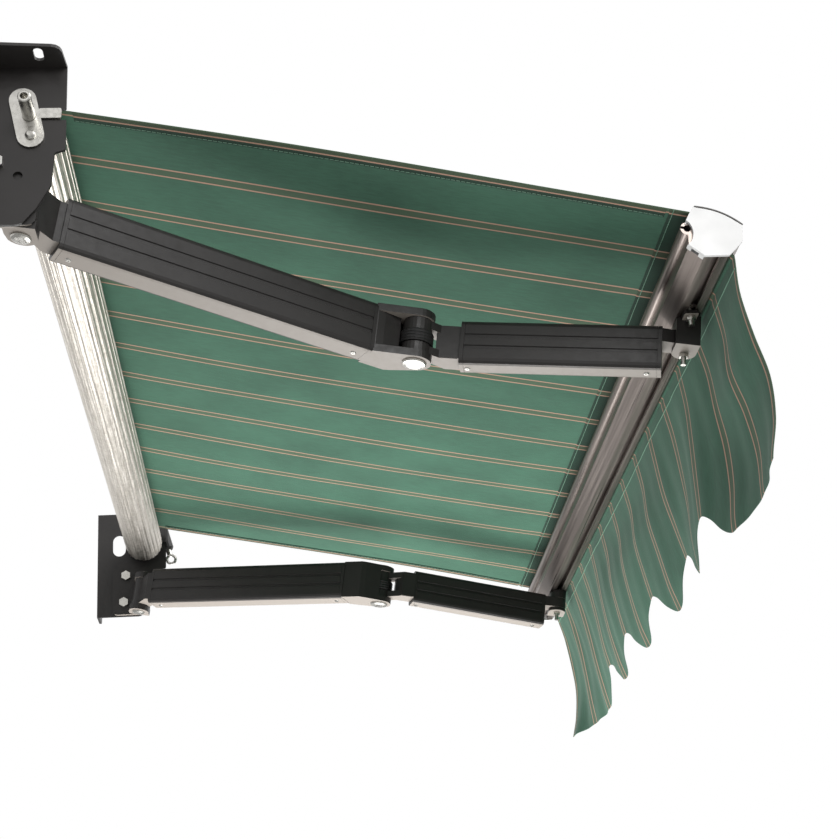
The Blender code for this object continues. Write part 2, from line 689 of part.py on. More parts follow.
def arm_end(frame, height, width, side, face, way):
    """Cover flange at an extrusion's end with the spigot that fills its mouth."""
    flange_outline = rounded(
        [(side - width / 2, -height / 2), (side + width / 2, -height / 2),
         (side + width / 2, height / 2), (side - width / 2, height / 2)], ARM_CORNER)
    spigot_outline = arm_section(height, width, side, ARM_WALL + SPIGOT_GAP)
    edges = sorted((face, face - way * END_FLANGE))
    tail = sorted((face - way * END_FLANGE / 2, face + way * (SPIGOT_LENGTH + SEAT_GAP)))
    return [
        prism([flange_outline], *edges, along(frame)),
        prism([spigot_outline], *tail, along(frame)),
    ]


REAR_START = ROOT_LENGTH + END_FLANGE
REAR_END = REAR_ARM_LENGTH - ELBOW_REAR_LENGTH - END_FLANGE
FORE_START = ELBOW_FORE_LENGTH + END_FLANGE
FORE_END = FOREARM_LENGTH - TIP_LENGTH - END_FLANGE


def arm_root():
    """Casting from the shoulder pin to the rear arm."""
    side = REAR_ARM_SIDE
    low, high = PIVOT_TO_ARM + 0.003, PIVOT_TO_ARM + REAR_ARM_WIDTH - 0.004
    outline = arc((0, 0), KNUCKLE_RADIUS, 70, 290, 14)
    outline += [(ROOT_LENGTH - 0.008, low), (ROOT_LENGTH + 0.001, low), (ROOT_LENGTH + 0.001, high),
                (ROOT_LENGTH - 0.010, high)]
    knuckle = prism([outline], -KNUCKLE_HEIGHT / 2, KNUCKLE_HEIGHT / 2, REAR_FRAME)
    bore_radius = PIN_RADIUS + TURNING_GAP
    bore = turned([(bore_radius, -0.1), (bore_radius, 0.1)], REAR_FRAME, SMALL_STEPS)
    end = arm_end(REAR_FRAME, REAR_ARM_HEIGHT, REAR_ARM_WIDTH, side, REAR_START, 1)
    return [knuckle] + end, [bore]


def rear_arm():
    tube = arm_tube(REAR_FRAME, REAR_ARM_HEIGHT, REAR_ARM_WIDTH, REAR_ARM_SIDE,
                    REAR_START + SEAT_GAP, REAR_END - SEAT_GAP)
    return [tube], []


def elbow_fork():
    """Casting on the rear arm's end: a fork whose ears hold the elbow pin."""
    reach = REAR_ARM_LENGTH
    low, high = PIVOT_TO_ARM, PIVOT_TO_ARM + REAR_ARM_WIDTH
    start = reach - ELBOW_REAR_LENGTH - 0.001
    outline = arc((reach, 0), EAR_RADIUS, -105, 50, 12)
    outline += [(reach - 0.014, high - 0.006), (reach - 0.022, high - 0.001), (start, high - 0.001),
                (start, low + 0.001)]
    half = REAR_ARM_HEIGHT / 2
    gap = half - ELBOW_EAR_THICK
    body = prism([outline], -half + 0.0005, half - 0.0005, REAR_FRAME)
    sweep = arc((reach, 0), BARREL_SWEEP, 30, 170, 12)
    sweep += [(reach - 0.045, low), (start - 0.001, low), (start - 0.001, -0.05), (reach + 0.05, -0.05),
              (reach + 0.05, 0.011)]
    mouth = prism([sweep], -gap, gap, REAR_FRAME)
    pivot = REAR_FRAME @ Matrix.Translation((reach, 0, 0))
    bore = turned([(PIN_RADIUS + SEAT_GAP, -0.1), (PIN_RADIUS + SEAT_GAP, 0.1)], pivot, SMALL_STEPS)
    end = arm_end(REAR_FRAME, REAR_ARM_HEIGHT, REAR_ARM_WIDTH, REAR_ARM_SIDE, REAR_END, -1)
    return [body] + end, [mouth, bore]


def elbow_pin():
    frame = REAR_FRAME @ Matrix.Translation((REAR_ARM_LENGTH, 0, 0))
    reach = REAR_ARM_HEIGHT / 2 - 0.0005
    return [headed_pin(frame, PIN_RADIUS, reach, ELBOW_HEAD_RADIUS, PIN_HEAD_THICK)], []


def elbow_barrel():
    """Casting on the forearm: the barrel between the fork's ears, grooved for the cables."""
    half = REAR_ARM_HEIGHT / 2 - ELBOW_EAR_THICK - SEAT_GAP
    low, high = PIVOT_TO_ARM + STEP, PIVOT_TO_ARM + FOREARM_WIDTH - 2 * STEP
    end_at = ELBOW_FORE_LENGTH + 0.001
    pivot = FORE_FRAME
    profile = [(BARREL_RADIUS, -half)]
    for up in cable_heights():
        profile += [(BARREL_RADIUS, up - CABLE_RADIUS), (BARREL_RADIUS - CABLE_RADIUS, up),
                    (BARREL_RADIUS, up + CABLE_RADIUS)]
    profile.append((BARREL_RADIUS, half))
    barrel = turned(profile, pivot)
    web_outline = arc((0, 0), BARREL_RADIUS * 0.80, 60, 300, 12)
    web_outline += [(0.030, low + STEP), (end_at - 0.004, low + STEP), (end_at - 0.004, high - STEP),
                    (0.036, high - STEP)]
    cable_room = max(abs(up) for up in cable_heights()) + CABLE_RADIUS + 0.0012
    rims = [
        prism([web_outline], cable_room, half - STEP, pivot),
        prism([web_outline], -half + STEP, -cable_room, pivot),
    ]
    block_outline = [(BLOCK_START, low), (end_at, low), (end_at, high), (BLOCK_START + 0.0095, high),
                     (BLOCK_START, 0.020)]
    block = prism([block_outline], -half + 2 * STEP, half - 2 * STEP, pivot)
    bore = turned([(PIN_RADIUS + TURNING_GAP, -0.1), (PIN_RADIUS + TURNING_GAP, 0.1)], pivot, SMALL_STEPS)
    end = arm_end(FORE_BODY, FOREARM_HEIGHT, FOREARM_WIDTH, 0, FORE_START, 1)
    return [barrel] + rims + [block] + end, [bore]


def cable_heights():
    pitch = 2 * CABLE_RADIUS - CABLE_LAP
    return [(i - (CABLE_STRANDS - 1) / 2) * pitch - 0.002 for i in range(CABLE_STRANDS)]


def elbow_cable():
    """Cable strands wound side by side round the barrel."""
    radius = BARREL_RADIUS + SEAT_GAP
    heights = cable_heights()
    profile = []
    for up in heights:
        for degrees in (-50, 0, 50):
            angle = math.radians(degrees)
            out = radius + 0.0002 + CABLE_RADIUS * math.cos(angle)
            profile.append((out, up + CABLE_RADIUS * math.sin(angle)))
    for up in reversed(heights):
        profile.append((radius, up + CABLE_RADIUS * 0.75))
        profile.append((radius, up - CABLE_RADIUS * 0.75))
    return [turned(profile, FORE_FRAME, ROUND_STEPS, bored=True)], []


def forearm():
    tube = arm_tube(FORE_BODY, FOREARM_HEIGHT, FOREARM_WIDTH, 0, FORE_START + SEAT_GAP, FORE_END - SEAT_GAP)
    return [tube], []


def arm_tip(slack):
    """Casting on the forearm's end with the tongue that the front fork holds."""
    reach = FOREARM_LENGTH
    start = reach - TIP_LENGTH - 0.003
    middle = FOREARM_SIDE - start * math.tan(math.radians(FOREARM_SKEW))
    half = FOREARM_WIDTH / 2 - 0.002
    outline = arc((reach, 0), TONGUE_RADIUS, -100, 100, 12)
    outline += [(start, middle + half), (start, middle - half)]
    tongue = prism([outline], TONGUE_TOP - TONGUE_THICK, TONGUE_TOP, FORE_FRAME)
    end = arm_end(FORE_BODY, FOREARM_HEIGHT, FOREARM_WIDTH, 0, FORE_END, -1)
    hole_radius = FRONT_PIN_RADIUS + TURNING_GAP + slack
    pivot = FORE_FRAME @ Matrix.Translation((reach, 0, 0))
    bore = turned([(hole_radius, 0), (hole_radius, 0.1)], pivot, SMALL_STEPS)
    return [tongue] + end, [bore]


def arm_spring():
    """Closed coil spring between the spigots inside the rear arm."""
    start = REAR_START + SPIGOT_LENGTH + 2 * SEAT_GAP + SPRING_WIRE
    end = REAR_END - SPIGOT_LENGTH - 2 * SEAT_GAP - SPRING_WIRE
    steps = SPRING_TURNS * 8
    centres = []
    for i in range(steps + 1):
        share = i / steps
        ease = min(max((share * SPRING_TURNS - 1) / (SPRING_TURNS - 2), 0), 1)
        angle = 2 * math.pi * SPRING_TURNS * share
        at = start + (end - start) * ease
        side = REAR_ARM_SIDE + SPRING_RADIUS * math.cos(angle)
        centres.append(REAR_FRAME @ Vector((at, side, SPRING_RADIUS * math.sin(angle))))
    return [swept(centres, SPRING_WIRE, 4)], []


# Front bar

def bar_point(point):
    return (BAR_OUT + point[0], BAR_UP + point[1])


def bar_outline():
    """Extrusion's outline with the cloth bead, the clamp slot and the valance groove."""
    mouth = math.degrees(math.asin(BEAD_MOUTH / 2 / BEAD_RADIUS))
    inner_mouth = math.degrees(math.asin(BEAD_MOUTH / 2 / BEAD_BORE))
    way = 180 - cloth_pitch()
    points = [BAR_BOTTOM_BACK, BAR_BACK_FOOT]
    points += arc(BEAD_CENTRE, BEAD_RADIUS, 270, way + mouth, 6)
    points += arc(BEAD_CENTRE, BEAD_BORE, way + inner_mouth, way + 360 - inner_mouth, 14)
    points += arc(BEAD_CENTRE, BEAD_RADIUS, way - mouth, 90, 3)
    points += [BAR_TOP] + crowned(BAR_TOP, BAR_NOSE, BAR_CROWN) + [BAR_NOSE, BAR_NOSE_FOOT]
    points += groove(VALANCE_GROOVE, VALANCE_GROOVE_RADIUS, VALANCE_MOUTH, BAR_NOSE_FOOT, BAR_BOTTOM_FRONT)
    points.append(BAR_BOTTOM_FRONT)
    half, head = CLAMP_SLOT_WIDTH / 2, CLAMP_SLOT_HEAD / 2
    points += [(half, 0), (half, CLAMP_SLOT_LIP), (head, CLAMP_SLOT_LIP), (head, CLAMP_SLOT_DEPTH),
               (-head, CLAMP_SLOT_DEPTH), (-head, CLAMP_SLOT_LIP), (-half, CLAMP_SLOT_LIP), (-half, 0)]
    return [bar_point(p) for p in points]


def groove(centre, radius, mouth, start, end):
    """Round groove open through the straight edge from start to end."""
    edge = (Vector(end) - Vector(start)).normalized()
    foot = Vector(start) + edge * (Vector(centre) - Vector(start)).dot(edge)
    facing = math.degrees(math.atan2(*(foot - Vector(centre)).yx))
    spread = math.degrees(math.asin(mouth / 2 / radius))
    before = tuple(foot - edge * mouth / 2)
    after = tuple(foot + edge * mouth / 2)
    return [before] + arc(centre, radius, facing + spread, facing + 360 - spread, 12) + [after]


def bar_hollow():
    """The extrusion's inner chamber, one wall inside the outline."""
    wall = BAR_WALL
    floor = CLAMP_SLOT_DEPTH + wall + 0.002
    left = BEAD_CENTRE[0] + BEAD_BORE + wall
    points = [
        (left, floor), (BAR_NOSE_FOOT[0] - wall, floor + 0.002),
        (BAR_NOSE[0] - wall - 0.0005, BAR_NOSE[1] - wall),
        (BAR_TOP[0] + wall, BAR_TOP[1] - 1.6 * wall), (left, BAR_BACK_TOP[1] + wall),
    ]
    return [bar_point(p) for p in rounded(points, 0.0015, 2)]


def front_bar():
    left = CLOTH_LEFT - BAR_OVERHANG
    right = CLOTH_RIGHT + BAR_OVERHANG
    add_part("front_bar", ANODISED, [prism([bar_outline(), bar_hollow()], left, right, SIDE)])


def bar_cap():
    """Moulded end cap with a spigot in the bar's chamber."""
    face = CLOTH_LEFT - BAR_OVERHANG - SEAT_GAP
    proud = CAP_PROUD
    back_top, back_foot = BAR_BACK_TOP, BAR_BACK_FOOT
    points = [
        (BAR_BOTTOM_BACK[0], -proud), (back_foot[0] - proud, back_foot[1]),
        *crowned(back_foot, back_top, -CAP_NOTCH, 8), (back_top[0] - proud, back_top[1]),
        (BAR_TOP[0] - proud, BAR_TOP[1] + proud), *crowned(BAR_TOP, BAR_NOSE, BAR_CROWN + proud),
        (BAR_NOSE[0] + proud, BAR_NOSE[1]), (BAR_NOSE_FOOT[0] + proud, BAR_NOSE_FOOT[1]),
        (BAR_BOTTOM_FRONT[0], -proud),
    ]
    cover = prism([[bar_point(p) for p in points]], face - CAP_THICK, face, SIDE)
    hollow = [Vector(p) for p in bar_hollow()]
    middle = sum(hollow, Vector((0, 0))) / len(hollow)
    spigot = [tuple(p - (p - middle).normalized() * 2 * SPIGOT_GAP) for p in hollow]
    return [cover, prism([spigot], face - CAP_THICK / 2, face + CAP_SPIGOT, SIDE)], []


# Front joint

def front_fork():
    """Bracket clamped under the bar, its two ears above and below the arm's tongue."""
    upper = TONGUE_TOP + SEAT_GAP
    lower = TONGUE_TOP - TONGUE_THICK - SEAT_GAP
    half = FORK_HALF_WIDTH
    reach = FORK_CLEAR + FORK_WEB
    outline = arc((0, 0), half, -90, 90, 10) + [(-reach, half), (-reach, -half)]
    body = prism([outline], lower - FORK_EAR, BAR_OVER_PIVOT + 0.010, FORK_FRAME)
    mouth = prism([box(-FORK_CLEAR, -0.05, 0.05, 0.05)], lower, upper, FORK_FRAME)
    under = ROLLER_Z + BAR_UP - SEAT_GAP
    above = prism([box(-1, -2, 1, 0)], under, under + 0.05, Matrix.Identity(4))
    hole = FRONT_PIN_RADIUS + SEAT_GAP
    bore = turned([(hole, -0.05), (hole, FRONT_PIN_TOP + SEAT_GAP)], FORK_FRAME, SMALL_STEPS)
    clamp_hole = CLAMP_BOLT_RADIUS + SEAT_GAP
    clamp = turned([(clamp_hole, -0.02), (clamp_hole, 0.02)], clamp_frame(), SMALL_STEPS)
    return [body, clamp_plate()], [mouth, above, bore, clamp]


def front_pin():
    """Bolt up through the fork's ears and the tongue, with a nut below."""
    face = TONGUE_TOP - TONGUE_THICK - FORK_EAR - 2 * SEAT_GAP
    foot = face - FRONT_NUT_THICK
    pin = turned([(FRONT_PIN_RADIUS, foot - FRONT_PIN_TAIL), (FRONT_PIN_RADIUS, FRONT_PIN_TOP)],
                 FORK_FRAME, SMALL_STEPS)
    nut = turned([(FRONT_NUT_RADIUS, foot), (FRONT_NUT_RADIUS, face)], FORK_FRAME, 6)
    return [pin, nut], []


def clamp_frame():
    """Frame at the clamp bolt: third axis up, zero at the bar's underside."""
    out_y = ROLLER_Y - BAR_OUT
    return Matrix.Translation((FRONT_PIVOT.x - FORK_CLEAR - FORK_WEB - 0.009, out_y, ROLLER_Z + BAR_UP))


def clamp_bolt():
    """T-headed bolt in the bar's slot, with a washer and nut under the clamp plate."""
    frame = clamp_frame()
    lip = CLAMP_SLOT_LIP
    plate = 0.005
    head = prism([box(-CLAMP_HEAD_HALF, -CLAMP_HEAD_HALF, CLAMP_HEAD_HALF, CLAMP_HEAD_HALF)],
                 lip + SEAT_GAP, lip + SEAT_GAP + CLAMP_HEAD_THICK, frame)
    shank = turned([(CLAMP_BOLT_RADIUS, -plate - 0.012), (CLAMP_BOLT_RADIUS, lip + SEAT_GAP + 0.001)],
                   frame, SMALL_STEPS)
    foot = -plate - SEAT_GAP - FRONT_NUT_THICK
    nut = turned([(FRONT_NUT_RADIUS, foot), (FRONT_NUT_RADIUS, -plate - SEAT_GAP)], frame, 6)
    return [head, shank, nut], []


def clamp_plate():
    """Ledge of the front fork that the clamp bolt pulls against the bar."""
    frame = clamp_frame()
    return prism([rounded(box(-0.009, -0.009, 0.012, 0.009), 0.002)], -0.005, -SEAT_GAP, frame)


# Cloth and valance

def bead_place():
    return bar_point(BEAD_CENTRE)


def cloth_pitch():
    """Downward slope of the open cloth, from the roller's top to the bar's bead."""
    out, up = bead_place()
    lift = ROLLER_RADIUS + SEAT_GAP + CLOTH_THICK / 2
    return math.degrees(math.asin(lift / math.hypot(out, up)) + math.atan2(-up, out))


def cloth():
    """Main cloth: a turn over the roller's top, then straight into the bar's bead."""
    lift = ROLLER_RADIUS + SEAT_GAP + CLOTH_THICK / 2
    pitch = cloth_pitch()
    line = arc((0, 0), lift, 90 - pitch + 70, 90 - pitch, 10)
    out, up = bead_place()
    way = math.radians(180 - pitch)
    stop = BEAD_BORE - 0.0005
    line.append((out + math.cos(way) * stop, up + math.sin(way) * stop))
    add_part("cloth", CLOTH, [prism([strip(line, CLOTH_THICK)], CLOTH_LEFT, CLOTH_RIGHT, SIDE)])
    rod = circle((out, up), BEAD_BORE - SEAT_GAP - 0.0005, SMALL_STEPS)
    add_part("cloth_rod", PLASTIC, [prism([rod], CLOTH_LEFT, CLOTH_RIGHT, SIDE)])


def valance_drop(share):
    """Length of the valance at a share of its width, with the scalloped hem."""
    wave = abs(math.sin(math.pi * share * SCALLOPS))
    return VALANCE_DROP - SCALLOP_DEPTH * (1 - wave ** 0.8)


def valance_line(share, down):
    """Place (out, up) of the valance's middle surface at a length down from the groove."""
    root_out, root_up = bar_point(VALANCE_GROOVE)
    lead = (VALANCE_GROOVE_RADIUS + min(down, VALANCE_LEAD)) * math.sqrt(0.5)
    hang = max(down - VALANCE_LEAD, 0)
    low = hang / (VALANCE_DROP - VALANCE_LEAD)
    near = max(0.0, 1 - share * CLOTH_WIDTH / BILLOW_WIDTH)
    wave = VALANCE_WAVE * math.sin(2 * math.pi * (share * SCALLOPS - 0.15)) * min(low * 1.6, 1) ** 1.3
    billow = BILLOW_OUT * near * math.sin(math.pi * min(low * 1.15, 1.0))
    sway = 0.010 * math.sin(math.pi * low)
    tuck = 0.030 * near * low ** 3
    return root_out + lead + wave + billow + sway - tuck, root_up - lead - hang


def valance():
    """Scalloped sheet hanging from the bar's groove."""
    mesh = bmesh.new()
    sheets = []
    for side in (-1, 1):
        rows = []
        for j in range(VALANCE_ROWS + 2):
            row = []
            for i in range(VALANCE_COLUMNS + 1):
                share = i / VALANCE_COLUMNS
                hang = (valance_drop(share) - VALANCE_LEAD) * (j - 1) / VALANCE_ROWS
                out, up = valance_line(share, VALANCE_LEAD + hang if j else 0)
                out += side * VALANCE_THICK / 2
                row.append(mesh.verts.new((out, up, CLOTH_LEFT + share * CLOTH_WIDTH)))
            rows.append(row)
        sheets.append(rows)
        for lower, upper in zip(rows, rows[1:]):
            for i in range(VALANCE_COLUMNS):
                mesh.faces.new((lower[i], lower[i + 1], upper[i + 1], upper[i]))
    back, front = sheets
    rims = [
        ([row[0] for row in back], [row[0] for row in front]),
        ([row[-1] for row in back], [row[-1] for row in front]),
        (back[0], front[0]),
        (back[-1], front[-1]),
    ]
    for first, second in rims:
        for i in range(len(first) - 1):
            mesh.faces.new((first[i], first[i + 1], second[i + 1], second[i]))
    mesh.transform(SIDE)
    add_part("valance", CLOTH, [mesh])
    rod = circle(bar_point(VALANCE_GROOVE), VALANCE_GROOVE_RADIUS - 0.0006, SMALL_STEPS)
    add_part("valance_rod", PLASTIC, [prism([rod], CLOTH_LEFT, CLOTH_RIGHT, SIDE)])


def main():
    for old in list(bpy.data.objects):
        bpy.data.objects.remove(old)
    on_both_ends("bracket", COAT, bracket)
    bearing_plate()
    gearbox()
    crank_eye()
    roller()
    on_both_ends("shoulder", COAT, shoulder, SHOULDER)
    on_both_ends("shoulder_pin", ZINC, shoulder_pin, SHOULDER)
    on_both_ends("shoulder_bolt_upper", ZINC, lambda: shoulder_bolt(0))
    on_both_ends("shoulder_bolt_lower", ZINC, lambda: shoulder_bolt(1))
    on_both_ends("arm_root", COAT, arm_root, SHOULDER)
    on_both_ends("rear_arm", COAT, rear_arm, SHOULDER)
    on_both_ends("elbow_fork", COAT, elbow_fork, SHOULDER)
    on_both_ends("elbow_pin", ZINC, elbow_pin, SHOULDER)
    on_both_ends("arm_spring", SPRING_STEEL, arm_spring, SHOULDER)
    on_both_ends("elbow_barrel", COAT, elbow_barrel, ELBOW)
    on_both_ends("elbow_cable", BLACK, elbow_cable, ELBOW)
    on_both_ends("forearm", COAT, forearm, ELBOW)
    for end, flip, slack in (("left", False, 0.0), ("right", True, OPEN_PIVOT_SLACK)):
        solids, cuts = arm_tip(slack)
        add_part(f"{end}_arm_tip", COAT, solids, cuts, ELBOW, flip)
    on_both_ends("front_fork", COAT, front_fork)
    on_both_ends("front_pin", ZINC, front_pin)
    on_both_ends("clamp_bolt", ZINC, clamp_bolt)
    front_bar()
    on_both_ends("bar_cap", PLASTIC, bar_cap)
    cloth()
    valance()


main()
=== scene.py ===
"""Folding arm awning, dressed: coated brackets and arms, striped cloth and scalloped valance."""

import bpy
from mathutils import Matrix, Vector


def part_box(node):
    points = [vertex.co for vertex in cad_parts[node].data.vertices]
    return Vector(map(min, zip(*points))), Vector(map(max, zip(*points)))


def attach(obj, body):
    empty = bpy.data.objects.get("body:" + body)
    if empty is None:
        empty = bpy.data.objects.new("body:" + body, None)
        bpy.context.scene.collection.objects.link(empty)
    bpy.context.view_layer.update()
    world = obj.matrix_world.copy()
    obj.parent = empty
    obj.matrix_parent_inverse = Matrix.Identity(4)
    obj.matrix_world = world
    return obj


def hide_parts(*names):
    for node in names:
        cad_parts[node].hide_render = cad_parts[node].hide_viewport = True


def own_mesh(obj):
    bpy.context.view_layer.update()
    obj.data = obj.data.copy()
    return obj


bl_info = {
    "name": "Folding Arm Awning",
    "version": (1, 0, 0),
    "blender": (4, 5, 0),
    "location": "View3D > Sidebar > Awning",
    "description": "Builds the cloth, valance, seams, screws and finishes of a folding arm awning",
    "category": "Object",
}

import math

import bmesh
import bpy
from bpy.props import FloatProperty, FloatVectorProperty, IntProperty, PointerProperty
from mathutils import Matrix, Vector

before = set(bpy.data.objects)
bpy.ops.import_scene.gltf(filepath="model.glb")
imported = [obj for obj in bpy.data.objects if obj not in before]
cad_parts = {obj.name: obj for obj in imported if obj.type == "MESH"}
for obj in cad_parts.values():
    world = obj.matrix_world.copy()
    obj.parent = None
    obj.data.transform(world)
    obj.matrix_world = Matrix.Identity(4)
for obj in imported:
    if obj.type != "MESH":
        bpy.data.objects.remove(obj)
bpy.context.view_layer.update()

CLOTH_LOW, CLOTH_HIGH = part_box("cloth")
BAR_LOW, BAR_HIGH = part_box("front_bar")
ROLLER_LOW, ROLLER_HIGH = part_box("roller_tube")
CLOTH_LEFT = CLOTH_LOW.x
CLOTH_WIDTH = CLOTH_HIGH.x - CLOTH_LOW.x
MIDDLE_X = (BAR_LOW.x + BAR_HIGH.x) / 2
AXLE = ((ROLLER_LOW + ROLLER_HIGH) / 2).yz
ROLLER_RADIUS = (ROLLER_HIGH.z - ROLLER_LOW.z) / 2

# The bar's clamp slot at its underside, from which the bar's own outline is measured out and up
BAR_NOSE_OUT = 0.033
BAR_SLOT = Vector((BAR_LOW.y + BAR_NOSE_OUT, BAR_LOW.z))
CLOTH_CORNER = (-0.0213, 0.0636)
VALANCE_GROOVE = (0.0170, 0.0105)

# The bar's end cap: its outer face, its crown, and the outline points between which its lugs and gap lie
CAP_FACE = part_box("left_bar_cap")[0].x
CAP_THICK = 0.0040
CROWN_START = Vector((-0.0195, 0.0632))
CROWN_END = Vector((0.0342, 0.0375))
CROWN_RISE = 0.0050
CROWN_STEPS = 12
CAP_LUGS = (
    ((-0.0312, 0.0420), (-0.0272, 0.0506)),
    ((-0.0278, 0.0112), (-0.0318, 0.0155)),
    ((-0.0150, 0.0), (-0.0200, 0.0044)),
)
CAP_GAP = ((-0.0200, 0.0044), (-0.0278, 0.0112))

# The roller's beads: how many, how thick, how deep they sit and how far they stop short of the tube's ends
BEADS = 24
BEAD_RADIUS = 0.0009
BEAD_SINK = 0.0004
BEAD_SHORT = 0.001

# The arms' hinge points on the left side, their tilt and their directions seen from above
ARM_TILT = 9.3
SHOULDER = Vector((0.053, -0.088, -0.0675))
ELBOW = Vector((0.2659996, -0.5387751, -0.1413172))
REAR_ANGLE = -65.0
FORE_ANGLE = -97.094
FORE_SKEW = -4.5

# The arm sections' heights and their middles beside the hinge line
REAR_HEIGHT = 0.068
FORE_HEIGHT = 0.060
REAR_MIDDLE = 0.023
FORE_MIDDLE = 0.019

# The screws' distances along each arm section and the height of their heads
REAR_SCREWS = (0.062, 0.430)
FORE_SCREWS = (0.066, 0.288)
SCREW_HEIGHT = 0.0014


def parts(colour):
    """The three parts of a hex colour, from 0 to 1."""
    return tuple(int(colour[i:i + 2], 16) / 255 for i in (1, 3, 5))


# Sizes and colours a user would change

class AwningSizes(bpy.types.PropertyGroup):
    """Sizes of the cloth, its stripes and its seams."""

    cloth_sag: FloatProperty(
        name="Cloth Sag", description="How far the open cloth hangs below a straight line",
        default=0.005, min=0, max=0.03, unit="LENGTH")
    stripe_pitch: FloatProperty(
        name="Stripe Pitch", description="Distance from one pair of stripes to the next",
        default=CLOTH_WIDTH / 14, min=0.02, max=0.5, unit="LENGTH")
    stripe_spread: FloatProperty(
        name="Stripe Spread", description="Distance between the two lines of a pair",
        default=0.0150, min=0.002, max=0.1, unit="LENGTH")
    stripe_line: FloatProperty(
        name="Stripe Line", description="Width of one line",
        default=0.0026, min=0.0005, max=0.05, unit="LENGTH")
    valance_drop: FloatProperty(
        name="Valance Drop", description="Length of the valance from its groove to a scallop's tip",
        default=0.254, min=0.05, max=0.6, unit="LENGTH")
    scallop_depth: FloatProperty(
        name="Scallop Depth", description="Height from a scallop's tip to the notch beside it",
        default=0.050, min=0, max=0.2, unit="LENGTH")
    seam_drop: FloatProperty(
        name="Seam Drop", description="Distance of the valance's seam below its groove",
        default=0.021, min=0.005, max=0.1, unit="LENGTH")
    stitch_length: FloatProperty(
        name="Stitch Length",
        description="Length of one stitch, drawn longer than the real 4 mm so that it shows",
        default=0.006, min=0.002, max=0.02, unit="LENGTH")
    screw_radius: FloatProperty(
        name="Screw Radius", description="Radius of the arm screws' heads",
        default=0.0040, min=0.001, max=0.01, unit="LENGTH")


class AwningColours(bpy.types.PropertyGroup):
    """Colours of the finishes, as they look on a screen."""

    coat: FloatVectorProperty(
        name="Coat", description="Powder coat on brackets and arms", subtype="COLOR_GAMMA",
        size=3, min=0, max=1, default=parts("#2A2827"))
    # Painted light: a paler colour for the arms' downward faces, for the light thrown up from below
    coat_below: FloatVectorProperty(
        name="Coat Painted Light Below", description="Paler colour painted on the arms' and knuckles' undersides as light from below", subtype="COLOR_GAMMA",
        size=3, min=0, max=1, default=parts("#A29A92"))
    cloth: FloatVectorProperty(
        name="Cloth", description="Ground colour of the awning cloth", subtype="COLOR_GAMMA",
        size=3, min=0, max=1, default=parts("#436A57"))
    stripe: FloatVectorProperty(
        name="Stripe", description="Thin lines of each stripe pair", subtype="COLOR_GAMMA",
        size=3, min=0, max=1, default=parts("#C09884"))
    band: FloatVectorProperty(
        name="Band", description="Ground between the two lines of a pair", subtype="COLOR_GAMMA",
        size=3, min=0, max=1, default=parts("#5A644C"))


def sizes():
    """Sizes as the sidebar has them."""
    return bpy.context.scene.awning_sizes


def colours():
    """Colours as the sidebar has them."""
    return bpy.context.scene.awning_colours


def linear(colour):
    """Screen colour, as a hex string or three parts, turned to linear light."""
    if isinstance(colour, str):
        colour = parts(colour)
    lit = [c / 12.92 if c <= 0.04045 else ((c + 0.055) / 1.055) ** 2.4 for c in colour]
    return (*lit, 1.0)


def shaded(colour, share):
    """Linear colour made lighter or darker, and never past white."""
    return [min(c * share, 1.0) for c in colour[:3]] + [1.0]


# Node trees

def add(tree, kind, settings=None, inputs=None):
    """One node with its settings; an input is a value or the output socket that feeds it."""
    node = tree.nodes.new(kind)
    for name, value in (settings or {}).items():
        setattr(node, name, value)
    for key, value in (inputs or {}).items():
        if isinstance(value, bpy.types.NodeSocket):
            tree.links.new(value, node.inputs[key])
        else:
            node.inputs[key].default_value = value
    return node


def math_node(tree, operation, a, b=0.0, clamp=False):
    return add(tree, "ShaderNodeMath", {"operation": operation, "use_clamp": clamp}, {0: a, 1: b}).outputs[0]


def mix_colour(tree, share, a, b):
    node = add(tree, "ShaderNodeMix", {"data_type": "RGBA"}, {"Factor": share, "A": a, "B": b})
    return node.outputs["Result"]


def new_material(name, roughness, metallic=0.0):
    """Material with a bare shader, its tree and its place coordinates."""
    made = bpy.data.materials.new(name)
    made.use_nodes = True
    tree = made.node_tree
    shader = tree.nodes["Principled BSDF"]
    shader.inputs["Roughness"].default_value = roughness
    shader.inputs["Metallic"].default_value = metallic
    place = add(tree, "ShaderNodeTexCoord")
    return made, tree, shader, place


def noise(tree, place, feature, detail=2.0, stretch=(1, 1, 1)):
    """Noise whose features are about one size, in metres, stretched along the axes."""
    moved = add(tree, "ShaderNodeMapping", inputs={"Vector": place.outputs["Object"], "Scale": stretch})
    made = add(tree, "ShaderNodeTexNoise", inputs={
        "Vector": moved.outputs[0], "Scale": 1 / feature, "Detail": detail, "Roughness": 0.55})
    return made.outputs["Fac"]


def ramp(tree, value, low, high, out_low=0.0, out_high=1.0):
    return add(tree, "ShaderNodeMapRange", inputs={
        "Value": value, "From Min": low, "From Max": high, "To Min": out_low, "To Max": out_high}).outputs[0]


def bump(tree, shader, height, distance, strength=1.0):
    made = add(tree, "ShaderNodeBump", inputs={"Height": height, "Distance": distance, "Strength": strength})
    tree.links.new(made.outputs[0], shader.inputs["Normal"])


def dress(tree, shader, colour, roughness):
    """Feeds a shader its colour and its roughness."""
    tree.links.new(colour, shader.inputs["Base Color"])
    tree.links.new(roughness, shader.inputs["Roughness"])


# Finishes, each with the widths and depths of its patterns in metres

